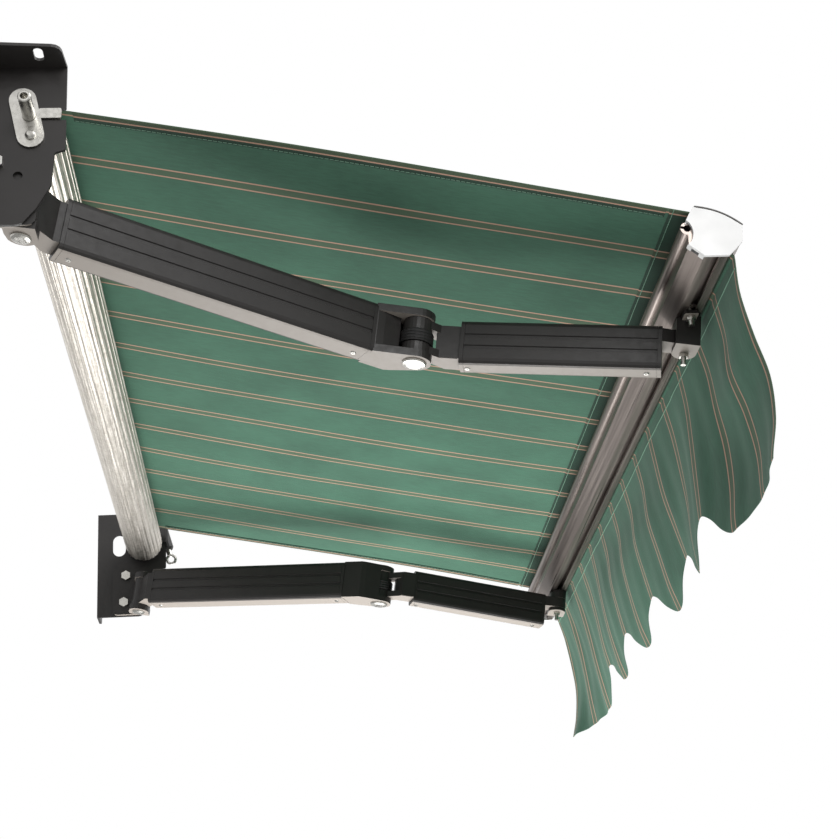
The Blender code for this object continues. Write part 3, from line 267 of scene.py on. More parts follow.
def powder_coat(name, underside):
    """Polyester powder coat: dark, low gloss, with an orange peel about 1 mm across."""
    cloud_width = 0.060
    patch_width = 0.008
    peel_width = 0.0012
    peel_depth = 0.0002
    made, tree, shader, place = new_material(name, 0.46)
    shader.inputs["Specular IOR Level"].default_value = 0.35
    base = linear(colours().coat)
    cloud = noise(tree, place, cloud_width, 3.0)
    mottle_and_painted_light = mix_colour(tree, ramp(tree, cloud, 0.35, 0.7), base, shaded(base, 1.25))
    if underside:
        # Faces that look down to within about 20 degrees get a paler colour, painted light for the light
        # thrown up onto them from below
        facing = add(tree, "ShaderNodeSeparateXYZ", inputs={"Vector": place.outputs["Normal"]}).outputs["Z"]
        below = ramp(tree, facing, -0.93, -0.97)
        mottle_and_painted_light = mix_colour(tree, below, mottle_and_painted_light, linear(colours().coat_below))
    patches = noise(tree, place, patch_width)
    dress(tree, shader, mottle_and_painted_light, ramp(tree, patches, 0.3, 0.7, 0.36, 0.50))
    bump(tree, shader, noise(tree, place, peel_width), peel_depth, 0.35)
    return made


def zinc_plate(name):
    """Bright zinc on turned and pressed steel: cool grey with a soft, slightly cloudy gloss."""
    cloud_width = 0.006
    made, tree, shader, place = new_material(name, 0.30, 1.0)
    cloud = noise(tree, place, cloud_width, 3.0)
    tone = mix_colour(tree, cloud, linear("#a5a39d"), linear("#d8d6d1"))
    dress(tree, shader, tone, ramp(tree, cloud, 0.3, 0.7, 0.22, 0.38))
    return made


def galvanised_steel(name):
    """Roll formed galvanised tube: pale grey with spangle 5 mm across and faint rolling lines.

    The real rolling lines are a few tenths of a millimetre wide; they are drawn wider so that they show.
    """
    spangle_width = 0.005
    line_width = 0.0015
    line_depth = 0.0002
    made, tree, shader, place = new_material(name, 0.40, 1.0)
    spangle = add(tree, "ShaderNodeTexVoronoi", inputs={
        "Vector": place.outputs["Object"], "Scale": 1 / spangle_width})
    lines = noise(tree, place, line_width, 2.0, (0.02, 1, 1))
    tone = math_node(tree, "ADD", math_node(tree, "MULTIPLY", spangle.outputs["Color"], 0.25), lines)
    shade = mix_colour(tree, ramp(tree, tone, 0.35, 0.85), linear("#c4bcb1"), linear("#f0ebe3"))
    dress(tree, shader, shade, ramp(tree, tone, 0.3, 0.9, 0.30, 0.48))
    bump(tree, shader, lines, line_depth, 0.25)
    return made


def anodised_aluminium(name):
    """Extruded and anodised aluminium: warm grey satin with drawing lines along the bar.

    The real lines are under a millimetre wide; they are drawn at 3 mm so that they show.
    """
    line_width = 0.0030
    line_depth = 0.0001
    made, tree, shader, place = new_material(name, 0.34, 1.0)
    lines = noise(tree, place, line_width, 2.0, (0.01, 1, 1))
    shade = mix_colour(tree, ramp(tree, lines, 0.2, 0.8), linear("#756c67"), linear("#8e857f"))
    dress(tree, shader, shade, ramp(tree, lines, 0.3, 0.7, 0.26, 0.42))
    bump(tree, shader, lines, line_depth, 0.3)
    return made


def nylon(name, colour, roughness):
    """Moulded nylon: even colour with a fine spark eroded texture under 1 mm."""
    cloud_width = 0.030
    spark_width = 0.0008
    spark_depth = 0.0001
    made, tree, shader, place = new_material(name, roughness)
    shade = linear(colour)
    cloud = noise(tree, place, cloud_width, 2.0)
    rough = ramp(tree, cloud, 0.3, 0.7, roughness - 0.05, roughness + 0.08)
    dress(tree, shader, mix_colour(tree, cloud, shade, shaded(shade, 0.9)), rough)
    bump(tree, shader, noise(tree, place, spark_width), spark_depth, 0.3)
    return made


def spring_wire(name):
    """Oiled spring wire: dark steel with cloudy streaks."""
    streak_width = 0.004
    made, tree, shader, place = new_material(name, 0.35, 1.0)
    streak = noise(tree, place, streak_width)
    tone = mix_colour(tree, streak, linear("#55555a"), linear("#8a8a8e"))
    dress(tree, shader, tone, ramp(tree, streak, 0.3, 0.7, 0.28, 0.45))
    return made


def awning_cloth(name, down, doubled=False):
    """Solution dyed acrylic canvas: matt plain weave with narrow stripe pairs woven in.

    A doubled layer gets its ground darkened, painted shade for the daylight that two layers keep out, so it
    looks darker than the open cloth.

    The real threads lie 0.5 mm apart; the weave is drawn at 2 mm so that it shows.
    """
    thread_pitch = 0.0020
    thread_depth = 0.0003
    stripe_blur = 0.0004
    slub_width = 0.010
    cloud_width = 0.160
    made, tree, shader, place = new_material(name, 0.88)
    size = sizes()
    tint = colours()
    axes = add(tree, "ShaderNodeSeparateXYZ", inputs={"Vector": place.outputs["Object"]})
    across, along = axes.outputs["X"], axes.outputs[down]
    pairs = math_node(tree, "DIVIDE", math_node(tree, "SUBTRACT", across, CLOTH_LEFT), size.stripe_pitch)
    share = math_node(tree, "SUBTRACT", pairs, math_node(tree, "ROUND", pairs))
    aside = math_node(tree, "ABSOLUTE", math_node(tree, "MULTIPLY", share, size.stripe_pitch))
    half = size.stripe_spread / 2
    edge = size.stripe_line / 2
    away = math_node(tree, "ABSOLUTE", math_node(tree, "SUBTRACT", aside, half))
    line = ramp(tree, away, edge + stripe_blur, edge - stripe_blur)
    band = ramp(tree, aside, half + stripe_blur, half - stripe_blur)

    turns = 2 * math.pi / thread_pitch
    warp = math_node(tree, "SINE", math_node(tree, "MULTIPLY", across, turns))
    weft = math_node(tree, "SINE", math_node(tree, "MULTIPLY", along, turns))
    weave = math_node(tree, "MULTIPLY", warp, weft)
    slub = noise(tree, place, slub_width, 4.0, (3.0, 0.6, 0.6))
    cloud = noise(tree, place, cloud_width, 3.0)
    tone = math_node(
        tree, "ADD", math_node(tree, "MULTIPLY", slub, 0.45), math_node(tree, "MULTIPLY", cloud, 0.55))
    tone = math_node(tree, "ADD", tone, math_node(tree, "MULTIPLY", weave, 0.05))

    # Painted shade: a doubled layer's ground is darkened to 0.36 of the open cloth's
    ground = shaded(linear(tint.cloth), 0.36 if doubled else 1.0)
    colour = mix_colour(tree, ramp(tree, tone, 0.35, 0.65), shaded(ground, 0.80), shaded(ground, 1.22))
    colour = mix_colour(tree, math_node(tree, "MULTIPLY", band, 0.55), colour, linear(tint.band))
    colour = mix_colour(tree, line, colour, linear(tint.stripe))
    dress(tree, shader, colour, ramp(tree, slub, 0.3, 0.7, 0.80, 0.95))
    shader.inputs["Specular IOR Level"].default_value = 0.15
    shader.inputs["Sheen Weight"].default_value = 0.15
    shader.inputs["Sheen Roughness"].default_value = 0.5
    bump(tree, shader, weave, thread_depth, 0.25)
    return made


def thread_yarn(name, colour):
    """Twisted polyester thread: satin, with painted shade and highlight on the twist as light and dark steps
    drawn longer than real.
    """
    twist_width = 0.0015
    made, tree, shader, place = new_material(name, 0.6)
    twist = noise(tree, place, twist_width, 1.0)
    shade = linear(colour)
    # Painted shade: the twist's dark steps take a darker copy of the thread's colour
    tone = mix_colour(tree, twist, shaded(shade, 0.7), shade)
    dress(tree, shader, tone, ramp(tree, twist, 0.3, 0.7, 0.5, 0.7))
    return made


# Meshes and places

def new_piece(name, mesh, material, body, smooth=40.0):
    """Shown piece with its place in its mesh, shaded smooth up to an angle, riding on a body."""
    bmesh.ops.recalc_face_normals(mesh, faces=mesh.faces)
    data = bpy.data.meshes.new(name)
    mesh.to_mesh(data)
    mesh.free()
    return settle(name, data, material, body, smooth)


def settle(name, data, material, body, smooth=40.0):
    """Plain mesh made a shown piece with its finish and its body."""
    data.shade_smooth()
    data.set_sharp_from_angle(angle=math.radians(smooth))
    data.materials.clear()
    data.materials.append(material)
    made = bpy.data.objects.new(name, data)
    bpy.context.scene.collection.objects.link(made)
    if body:
        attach(made, body)
    return made


def bar_point(out, up):
    """Place (y, z) of a point of the bar's outline."""
    return BAR_SLOT.x - out, BAR_SLOT.y + up


def arm_frame(pivot, angle):
    """Frame of an arm section: its hinge as the origin and the first axis along it."""
    tilt = Matrix.Rotation(math.radians(ARM_TILT), 4, "X")
    return Matrix.Translation(pivot) @ tilt @ Matrix.Rotation(math.radians(angle), 4, "Z")


REAR_FRAME = arm_frame(SHOULDER, REAR_ANGLE)
FORE_FRAME = arm_frame(ELBOW, FORE_ANGLE)
FORE_BODY = FORE_FRAME @ Matrix.Translation((0, FORE_MIDDLE, 0))
FORE_BODY = FORE_BODY @ Matrix.Rotation(math.radians(FORE_SKEW), 4, "Z")


def mirror(point):
    """The same point on the awning's other side."""
    return Vector((2 * MIDDLE_X - point[0], point[1], point[2]))


def sheet_mesh(surface, columns, rows, thick):
    """Closed thin sheet over a surface function of two shares, given as (middle point, normal)."""
    mesh = bmesh.new()
    sides = []
    for side in (-0.5, 0.5):
        grid = []
        for j in range(rows + 1):
            row = []
            for i in range(columns + 1):
                point, normal = surface(i / columns, j / rows)
                row.append(mesh.verts.new(point + normal * side * thick))
            grid.append(row)
        sides.append(grid)
        for lower, upper in zip(grid, grid[1:]):
            for i in range(columns):
                mesh.faces.new((lower[i], lower[i + 1], upper[i + 1], upper[i]))
    back, front = sides
    rims = [
        ([row[0] for row in back], [row[0] for row in front]),
        ([row[-1] for row in back], [row[-1] for row in front]),
        (back[0], front[0]),
        (back[-1], front[-1]),
    ]
    for first, second in rims:
        for i in range(len(first) - 1):
            mesh.faces.new((first[i], first[i + 1], second[i + 1], second[i]))
    return mesh


def surface_normal(place, across, down, step=1e-4):
    """Normal of a surface given by a function of two shares."""
    a = place(min(across + step, 1), down) - place(max(across - step, 0), down)
    b = place(across, min(down + step, 1)) - place(across, max(down - step, 0))
    return a.cross(b).normalized()


# Cloth

CLOTH_THICK = 0.0011
LIFT = ROLLER_RADIUS + 0.0009
CLOTH_END = Vector(bar_point(*CLOTH_CORNER))
SLOPE = math.asin(LIFT / math.hypot(AXLE.x - CLOTH_END.x, AXLE.y - CLOTH_END.y))
SLOPE += math.atan2(AXLE.y - CLOTH_END.y, AXLE.x - CLOTH_END.x)
WRAP = math.radians(70)
WRAP_LENGTH = WRAP * LIFT
TANGENT = Vector((AXLE.x - LIFT * math.sin(SLOPE), AXLE.y + LIFT * math.cos(SLOPE)))
STRAIGHT = (CLOTH_END - TANGENT).length
CLOTH_LENGTH = WRAP_LENGTH + STRAIGHT
CLOTH_COLUMNS = 240
CLOTH_ROWS = 60
ROLLED_ROWS = 24

# Length of the straight run beyond the roller that is made part of the cloth on the roller rather than of the
# open cloth
LEAD = 0.030

# The cloth's edges are taut and lie above its sagging middle, and it ripples towards the bar
EDGE_SHARE = 0.110
EDGE_RISE = 0.009
RIPPLE_FROM = 0.55
RIPPLE_HEIGHT = 0.0016
ROLL_HEIGHT = 0.0012

# The rod pocket and the side hems under the cloth: metres for the pocket's length, the layers and the threads
POCKET = 0.023
POCKET_SEAM = 0.004
LAYER_THICK = 0.0009
LAYER_DROP = 0.0006
POCKET_THREAD_DROP = 0.0016
HEM_THREAD_DROP = 0.0014
THREAD_RADIUS = 0.0005

# Shares of the cloth's width for a hem and its seam, and of its length for the ends of hem and pocket
HEM_WIDE = 0.0125
HEM_SEAM = 0.0105
HEM_START = 0.100
HEM_CLEAR = 0.005
POCKET_END = 0.998


def cloth_place(across, down):
    """Point of the open cloth: round the roller's top, then down to the bar with a slight sag."""
    run = down * CLOTH_LENGTH
    x = CLOTH_LEFT + across * CLOTH_WIDTH
    if run < WRAP_LENGTH:
        angle = SLOPE - (WRAP_LENGTH - run) / LIFT
        return Vector((x, AXLE.x - LIFT * math.sin(angle), AXLE.y + LIFT * math.cos(angle)))
    share = (run - WRAP_LENGTH) / STRAIGHT
    bow = 4 * share * (1 - share)
    edge = math.exp(-(min(across, 1 - across) / EDGE_SHARE) ** 2)
    sag = (sizes().cloth_sag - EDGE_RISE * edge) * bow
    near_bar = max(0.0, share - RIPPLE_FROM) / (1 - RIPPLE_FROM)
    wave = math.sin(across * 61.0 + 2.0 * math.sin(across * 17.0))
    ripple = RIPPLE_HEIGHT * wave * near_bar * (1 - share) * 4
    roll = ROLL_HEIGHT * math.sin(across * 23.0 + share * 5.0) * bow
    y, z = TANGENT.lerp(CLOTH_END, share)
    return Vector((x, y, z - sag + ripple + roll))


def cloth_surface(across, down):
    return cloth_place(across, down), surface_normal(cloth_place, across, down)


def below_cloth(across, down, drop):
    """Point under the cloth, a distance below its underside, with the way down."""
    point, normal = cloth_surface(across, down)
    if normal.z > 0:
        normal = -normal
    return point + normal * (CLOTH_THICK / 2 + drop), normal


def squash_cloth(piece):
    """Gives a cloth piece its own copy of its mesh."""
    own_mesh(piece)


# Valance

VALANCE_THICK = 0.0010
VALANCE_COLUMNS = 210
VALANCE_ROWS = 44
STRIPES = 14

# The cloth leaves its groove at 45 degrees: where it starts and ends on that slant, and how it then settles
GROOVE_START = 0.0026
GROOVE_LEAD = 0.0086
GROOVE_OUT = 0.006
SETTLING = 0.012
SLANT = math.sqrt(0.5)

# The seam stops short of the ends by this share of the width, and its thread stands proud of both faces
SEAM_STEPS = 560
SEAM_MARGIN = 0.003
SEAM_PROUD = 0.0003
SEAM_THREAD_RADIUS = 0.0006

# How far, in millimetres, the cloth stands out from its groove at each stripe, a fifth of the drop apart
FOLDS = (
    (6, 5, 13, 24, 23, 13),
    (6, 11, 11, 24, 31, 29),
    (6, 15, 19, 25, 25, 20),
    (6, 10, 10, 9, 8, 6),
    (6, 14, 19, 22, 21, 25),
    (6, 11, 17, 28, 39, 45),
    (6, 13, 14, 23, 33, 47),
    (6, 14, 14, 22, 32, 42),
    (6, 13, 13, 19, 29, 44),
    (6, 12, 13, 20, 30, 41),
    (6, 11, 15, 22, 33, 47),
    (6, 16, 24, 31, 42, 50),
    (6, 17, 27, 35, 44, 53),
    (6, 18, 28, 34, 38, 42),
    (6, 18, 27, 31, 24, 10),
)

# How much longer, in millimetres, the valance is at each stripe than its even scallops
LONGER = (0, 6, 13, 9, 0, -6, -8, -9, -10, -10, -11, -10, -8, -4, -2)

# How much longer it gets from its far end to its near one, and how deep its small creases are
NEAR_LONGER = 0.010
CREASE_DEPTH = 0.0016


def smooth_pick(values, at):
    """Value at a place between the listed ones, on a smooth curve through them."""
    last = len(values) - 1
    at = min(max(at, 0.0), last)
    i = min(int(at), last - 1)
    t = at - i
    before, a, b, after = (values[min(max(i + k, 0), last)] for k in (-1, 0, 1, 2))
    rise, fall = (b - before) / 2, (after - a) / 2
    return a + t * (rise + t * (3 * (b - a) - 2 * rise - fall + t * (2 * (a - b) + rise + fall)))


def valance_drop(across):
    """Length of the valance at a share of its width: a scallop every two stripes, a wider one at each end."""
    size = sizes()
    wave = math.cos(math.pi * min(max(across * STRIPES, 2), STRIPES - 2))
    longer = smooth_pick(LONGER, across * STRIPES) / 1000 + NEAR_LONGER * (0.4 - across)
    return size.valance_drop - size.scallop_depth * (1 - wave) / 2 + longer


def valance_place(across, down):
    """Point of the hanging valance: out of its groove, then down through its folds."""
    root = bar_point(*VALANCE_GROOVE)
    x = CLOTH_LEFT + across * CLOTH_WIDTH
    lead = GROOVE_LEAD - GROOVE_START
    reach = (valance_drop(across) - GROOVE_LEAD * SLANT + lead) * down
    if reach < lead:
        slant = (GROOVE_START + reach) * SLANT
        return Vector((x, root[0] - slant, root[1] - slant))
    hang = reach - lead
    low = hang / sizes().valance_drop
    columns = [smooth_pick(column, low * (len(FOLDS[0]) - 1)) for column in FOLDS]
    out = smooth_pick(columns, across * STRIPES) / 1000
    crease = math.sin(across * 97 + 4 * low) + 0.8 * math.sin(across * 171 + 2.5 * math.sin(3 * low))
    far = 0.4 + 1.2 * max(0.0, across - 0.55)
    out += CREASE_DEPTH * far * crease * min(low * 4, 1)
    start = GROOVE_LEAD * SLANT
    settled = min(hang / SETTLING, 1)
    return Vector((x, root[0] - start - (out - GROOVE_OUT) * settled, root[1] - start - hang))


def valance_surface(across, down):
    return valance_place(across, down), surface_normal(valance_place, across, down)


# Repeats made with geometry nodes

def node_group(name, sockets):
    """Empty geometry tree with a geometry input and output and its named sizes."""
    group = bpy.data.node_groups.new(name, "GeometryNodeTree")
    group.interface.new_socket("Geometry", in_out="INPUT", socket_type="NodeSocketGeometry")
    for label, kind, default in sockets:
        made = group.interface.new_socket(label, in_out="INPUT", socket_type=kind)
        if default is not None:
            made.default_value = default
    group.interface.new_socket("Geometry", in_out="OUTPUT", socket_type="NodeSocketGeometry")
    return group, add(group, "NodeGroupInput"), add(group, "NodeGroupOutput")


def finish_tree(group, given, result, geometry):
    """Instances made real and given their material."""
    real = add(group, "GeometryNodeRealizeInstances", inputs={"Geometry": geometry})
    painted = add(group, "GeometryNodeSetMaterial", inputs={
        "Geometry": real.outputs[0], "Material": given.outputs["Material"]})
    group.links.new(painted.outputs[0], result.inputs[0])


def stitch_tree():
    """Thread stitches laid end to end along a guide line, each a thin rod with a gap after it."""
    group, given, result = node_group("stitch row", [
        ("Stitch Length", "NodeSocketFloat", 0.006), ("Thread Radius", "NodeSocketFloat", THREAD_RADIUS),
        ("Gap Share", "NodeSocketFloat", 0.2), ("Material", "NodeSocketMaterial", None)])
    curve = add(group, "GeometryNodeMeshToCurve", inputs={"Mesh": given.outputs["Geometry"]})
    spaced = add(group, "GeometryNodeCurveToPoints", {"mode": "LENGTH"}, {
        "Curve": curve.outputs[0], "Length": given.outputs["Stitch Length"]})
    filled = math_node(group, "SUBTRACT", 1.0, given.outputs["Gap Share"])
    depth = math_node(group, "MULTIPLY", given.outputs["Stitch Length"], filled)
    rod = add(group, "GeometryNodeMeshCylinder", inputs={
        "Vertices": 6, "Radius": given.outputs["Thread Radius"], "Depth": depth})
    placed = add(group, "GeometryNodeInstanceOnPoints", inputs={
        "Points": spaced.outputs["Points"], "Instance": rod.outputs["Mesh"],
        "Rotation": spaced.outputs["Rotation"]})
    finish_tree(group, given, result, placed.outputs[0])
    return group


def screw_tree():
    """Screws on guide points: a low cone head with a cross recess, facing the point's own way."""
    group, given, result = node_group("screw heads", [
        ("Head Radius", "NodeSocketFloat", 0.004), ("Head Height", "NodeSocketFloat", SCREW_HEIGHT),
        ("Material", "NodeSocketMaterial", None)])
    radius = given.outputs["Head Radius"]
    height = given.outputs["Head Height"]
    head = add(group, "GeometryNodeMeshCone", inputs={
        "Vertices": 20, "Radius Top": math_node(group, "MULTIPLY", radius, 0.72), "Radius Bottom": radius,
        "Depth": height})
    slim = math_node(group, "MULTIPLY", radius, 0.24)
    deep = math_node(group, "MULTIPLY", height, 0.9)
    lift = add(group, "ShaderNodeCombineXYZ", inputs={"Z": height})
    cut = add(group, "GeometryNodeMeshBoolean", {"operation": "DIFFERENCE"}, {"Mesh 1": head.outputs["Mesh"]})
    for long, short in ((radius, slim), (slim, radius)):
        size = add(group, "ShaderNodeCombineXYZ", inputs={"X": long, "Y": short, "Z": deep})
        cube = add(group, "GeometryNodeMeshCube", inputs={"Size": size.outputs[0]})
        slot = add(group, "GeometryNodeTransform", inputs={
            "Geometry": cube.outputs["Mesh"], "Translation": lift.outputs[0]})
        group.links.new(slot.outputs[0], cut.inputs["Mesh 2"])
    facing = add(group, "GeometryNodeInputNamedAttribute", {"data_type": "FLOAT_VECTOR"}, {"Name": "facing"})
    turned = add(group, "FunctionNodeAlignRotationToVector", {"axis": "Z"}, {
        "Vector": facing.outputs["Attribute"]})
    placed = add(group, "GeometryNodeInstanceOnPoints", inputs={
        "Points": given.outputs["Geometry"], "Instance": cut.outputs["Mesh"], "Rotation": turned.outputs[0]})
    finish_tree(group, given, result, placed.outputs[0])
    return group


def bead_tree():
    """Raised beads along the roller, one bead copied round its axis."""
    group, given, result = node_group("roller beads", [
        ("Count", "NodeSocketInt", BEADS), ("Circle Radius", "NodeSocketFloat", 0.035),
        ("Bead Radius", "NodeSocketFloat", BEAD_RADIUS), ("Material", "NodeSocketMaterial", None)])
    line = add(group, "GeometryNodeMeshToCurve", inputs={"Mesh": given.outputs["Geometry"]})
    section = add(group, "GeometryNodeCurvePrimitiveCircle", {"mode": "RADIUS"}, {
        "Resolution": 8, "Radius": given.outputs["Bead Radius"]})
    bead = add(group, "GeometryNodeCurveToMesh", inputs={
        "Curve": line.outputs[0], "Profile Curve": section.outputs["Curve"], "Fill Caps": True})
    ring = add(group, "GeometryNodeMeshCircle", inputs={
        "Vertices": given.outputs["Count"], "Radius": given.outputs["Circle Radius"]})
    stood = add(group, "GeometryNodeTransform", inputs={
        "Geometry": ring.outputs["Mesh"], "Rotation": (0, math.radians(90), 0)})
    placed = add(group, "GeometryNodeInstanceOnPoints", inputs={
        "Points": stood.outputs[0], "Instance": bead.outputs["Mesh"]})
    finish_tree(group, given, result, placed.outputs[0])
    return group


def grow(guide, group, values, offset=(0, 0, 0)):
    """Runs a tree on a guide mesh and returns the plain mesh it makes."""
    holder = bpy.data.objects.new("guide", guide)
    bpy.context.scene.collection.objects.link(holder)
    modifier = holder.modifiers.new("grow", "NODES")
    modifier.node_group = group
    named = {item.name: item.identifier for item in group.interface.items_tree if item.in_out == "INPUT"}
    for label, value in values.items():
        modifier[named[label]] = value
    holder.update_tag()
    seen = bpy.context.evaluated_depsgraph_get()
    seen.update()
    mesh = bpy.data.meshes.new_from_object(holder.evaluated_get(seen))
    mesh.transform(Matrix.Translation(offset))
    bpy.data.objects.remove(holder)
    if not mesh.polygons:
        raise RuntimeError(f"{group.name} made nothing")
    return mesh


def guide_line(points):
    """Line of edges through points, as a tree's guide."""
    mesh = bpy.data.meshes.new("line")
    mesh.from_pydata([tuple(p) for p in points], [(i, i + 1) for i in range(len(points) - 1)], [])
    return mesh


def guide_points(places):
    """Points that each carry the way they face."""
    mesh = bpy.data.meshes.new("points")
    mesh.from_pydata([tuple(point) for point, _ in places], [], [])
    facing = mesh.attributes.new("facing", "FLOAT_VECTOR", "POINT")
    facing.data.foreach_set("vector", [value for _, way in places for value in way])
    return mesh


def join_meshes(meshes):
    """Several plain meshes as one."""
    joined = bmesh.new()
    for mesh in meshes:
        joined.from_mesh(mesh)
        bpy.data.meshes.remove(mesh)
    data = bpy.data.meshes.new("joined")
    joined.to_mesh(data)
    joined.free()
    return data


FINISHES = {
    "coat": ("anthracite powder coat", lambda name: powder_coat(name, False)),
    # The arms' coat has painted light on its downward faces
    "two tone coat": ("anthracite powder coat with satin underside", lambda name: powder_coat(name, True)),
    "zinc": ("bright zinc plate", zinc_plate),
    "galvanised": ("rolled galvanised steel", galvanised_steel),
    "anodised": ("satin anodised aluminium", anodised_aluminium),
    "white nylon": ("white moulded nylon", lambda name: nylon(name, "#f8f8f7", 0.34)),
    "grey nylon": ("grey moulded nylon", lambda name: nylon(name, "#6c6a68", 0.45)),
    "black nylon": ("black moulded nylon", lambda name: nylon(name, "#232221", 0.45)),
    "cable": ("black extruded cable jacket", lambda name: nylon(name, "#1c1b1b", 0.50)),
    "spring": ("oiled drawn spring wire", spring_wire),
    "cloth": ("solution dyed acrylic canvas", lambda name: awning_cloth(name, "Y")),
    # The doubled layers' cloth has its ground darkened as painted shade
    "doubled cloth": (
        "solution dyed acrylic canvas in two layers", lambda name: awning_cloth(name, "Y", doubled=True)),
    "valance": ("solution dyed acrylic canvas hung", lambda name: awning_cloth(name, "Z")),
    "green thread": ("pale green twisted sewing thread", lambda name: thread_yarn(name, "#86b39a")),
}


def finish(key):
    """The named finish, made once."""
    name, maker = FINISHES[key]
    return bpy.data.materials.get(name) or maker(name)


# Operators

PINS_AND_BOLTS = (
    "shoulder_pin", "shoulder_bolt_upper", "shoulder_bolt_lower", "elbow_pin", "front_pin", "clamp_bolt")
ARM_PARTS = (
    "shoulder", "arm_root", "rear_arm", "elbow_fork", "elbow_barrel", "forearm", "arm_tip", "front_fork")
SIDES = ("left", "right")
NODE_FINISHES = {
    "coat": ["left_bracket", "right_bracket"],
    "two tone coat": [f"{side}_{piece}" for side in SIDES for piece in ARM_PARTS],
    "zinc": ["bearing_plate", "crank_eye", "roller_bearing_plug"] + [
        f"{side}_{piece}" for side in SIDES for piece in PINS_AND_BOLTS],
    "galvanised": ["roller_tube"],
    "anodised": ["front_bar"],
    "white nylon": ["left_bar_cap", "right_bar_cap"],
    "black nylon": ["gearbox", "roller_drive_plug", "cloth_rod", "valance_rod"],
    "cable": ["left_elbow_cable", "right_elbow_cable"],
    "spring": ["left_arm_spring", "right_arm_spring"],
}


class AWNING_OT_finish_metal(bpy.types.Operator):
    """Give the frame's own parts their coats, plating and plastics"""

    bl_idname = "awning.finish_metal"
    bl_label = "Finish Frame Parts"

    def execute(self, context):
        for key, nodes in NODE_FINISHES.items():
            for node in nodes:
                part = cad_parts[node]
                part.data.materials.clear()
                part.data.materials.append(finish(key))
        return {"FINISHED"}


class AWNING_OT_make_roller(bpy.types.Operator):
    """Add the rolled beads along the roller tube"""

    bl_idname = "awning.make_roller"
    bl_label = "Make Roller Beads"

    def execute(self, context):
        half = (ROLLER_HIGH.x - ROLLER_LOW.x) / 2 - BEAD_SHORT
        line = guide_line([(-half, 0, 0), (half, 0, 0)])
        mesh = grow(line, bead_tree(), {
            "Count": BEADS, "Circle Radius": ROLLER_RADIUS - BEAD_SINK, "Bead Radius": BEAD_RADIUS,
            "Material": finish("galvanised")}, (MIDDLE_X, AXLE.x, AXLE.y))
        settle("roller_beads", mesh, finish("galvanised"), "roller", smooth=60.0)
        return {"FINISHED"}


def cloth_piece(name, surface, columns, rows, thick, finish_key):
    """Closed sheet of the open cloth or of a layer under it, which rides on the base."""
    mesh = sheet_mesh(surface, columns, rows, thick)
    return new_piece(name, mesh, finish(finish_key), "base")


class AWNING_OT_make_cloth(bpy.types.Operator):
    """Stretch the striped cloth from the roller to the front bar, with its hems and rod pocket"""

    bl_idname = "awning.make_cloth"
    bl_label = "Make Cloth"

    def execute(self, context):
        parting = (WRAP_LENGTH + LEAD) / CLOTH_LENGTH
        start = 1 - POCKET / CLOTH_LENGTH
        hem_length = start - HEM_CLEAR - HEM_START

        def open_cloth(across, down):
            return cloth_surface(across, parting + (1 - parting) * down)

        def rolled_cloth(across, down):
            return cloth_surface(across, parting * down)

        def pocket(across, down):
            return below_cloth(across, start + (POCKET_END - start) * down, LAYER_DROP)

        cloth = cloth_piece("awning_cloth", open_cloth, CLOTH_COLUMNS, CLOTH_ROWS, CLOTH_THICK, "cloth")
        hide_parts("cloth")
        rolled = cloth_piece(
            "cloth_on_roller", rolled_cloth, CLOTH_COLUMNS, ROLLED_ROWS, CLOTH_THICK, "cloth")
        # The rod pocket and the hems take the cloth darkened as painted shade
        flap = cloth_piece("cloth_pocket", pocket, CLOTH_COLUMNS, 6, LAYER_THICK, "doubled cloth")
        hems = []
        for label, inner, outer in (("left", 0.0, HEM_WIDE), ("right", 1 - HEM_WIDE, 1.0)):

            def hem(across, down):
                side = inner + (outer - inner) * across
                return below_cloth(side, HEM_START + hem_length * down, LAYER_DROP)

            hems.append(cloth_piece(f"cloth_hem_{label}", hem, 3, CLOTH_ROWS, LAYER_THICK, "doubled cloth"))

        seam = start + POCKET_SEAM / CLOTH_LENGTH
        steps = range(CLOTH_COLUMNS + 1)
        lines = [[below_cloth(i / CLOTH_COLUMNS, seam, POCKET_THREAD_DROP)[0] for i in steps]]
        for across in (HEM_SEAM, 1 - HEM_SEAM):
            line = []
            for j in range(CLOTH_ROWS + 1):
                down = HEM_START + HEM_CLEAR + (hem_length - 2 * HEM_CLEAR) * j / CLOTH_ROWS
                line.append(below_cloth(across, down, HEM_THREAD_DROP)[0])
            lines.append(line)
        tree = stitch_tree()
        values = {"Stitch Length": sizes().stitch_length, "Thread Radius": THREAD_RADIUS, "Gap Share": 0.2,
                  "Material": finish("green thread")}
        threads = join_meshes([grow(guide_line(line), tree, values) for line in lines])
        stitches = settle("cloth_stitches", threads, finish("green thread"), "base")
        trims = [flap, *hems, stitches]
        for piece in [cloth, *trims]:
            squash_cloth(piece)
        return {"FINISHED"}


class AWNING_OT_make_valance(bpy.types.Operator):
    """Hang the scalloped valance from the bar, with its seam on both faces"""

    bl_idname = "awning.make_valance"
    bl_label = "Make Valance"

    def execute(self, context):
        mesh = sheet_mesh(valance_surface, VALANCE_COLUMNS, VALANCE_ROWS, VALANCE_THICK)
        valance = new_piece("valance_sheet", mesh, finish("valance"), "bar")
        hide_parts("valance")
        tree = stitch_tree()
        values = {"Stitch Length": sizes().stitch_length, "Thread Radius": SEAM_THREAD_RADIUS,
                  "Gap Share": 0.15, "Material": finish("green thread")}
        rows = []
        for side in (1, -1):
            line = []
            for i in range(SEAM_STEPS + 1):
                across = SEAM_MARGIN + (1 - 2 * SEAM_MARGIN) * i / SEAM_STEPS
                point, normal = valance_surface(across, sizes().seam_drop / valance_drop(across))
                line.append(point + normal * side * (VALANCE_THICK / 2 + SEAM_PROUD))
            rows.append(grow(guide_line(line), tree, values))
        threads = join_meshes(rows)
        stitches = settle("valance_stitches", threads, finish("green thread"), "bar")
        return {"FINISHED"}


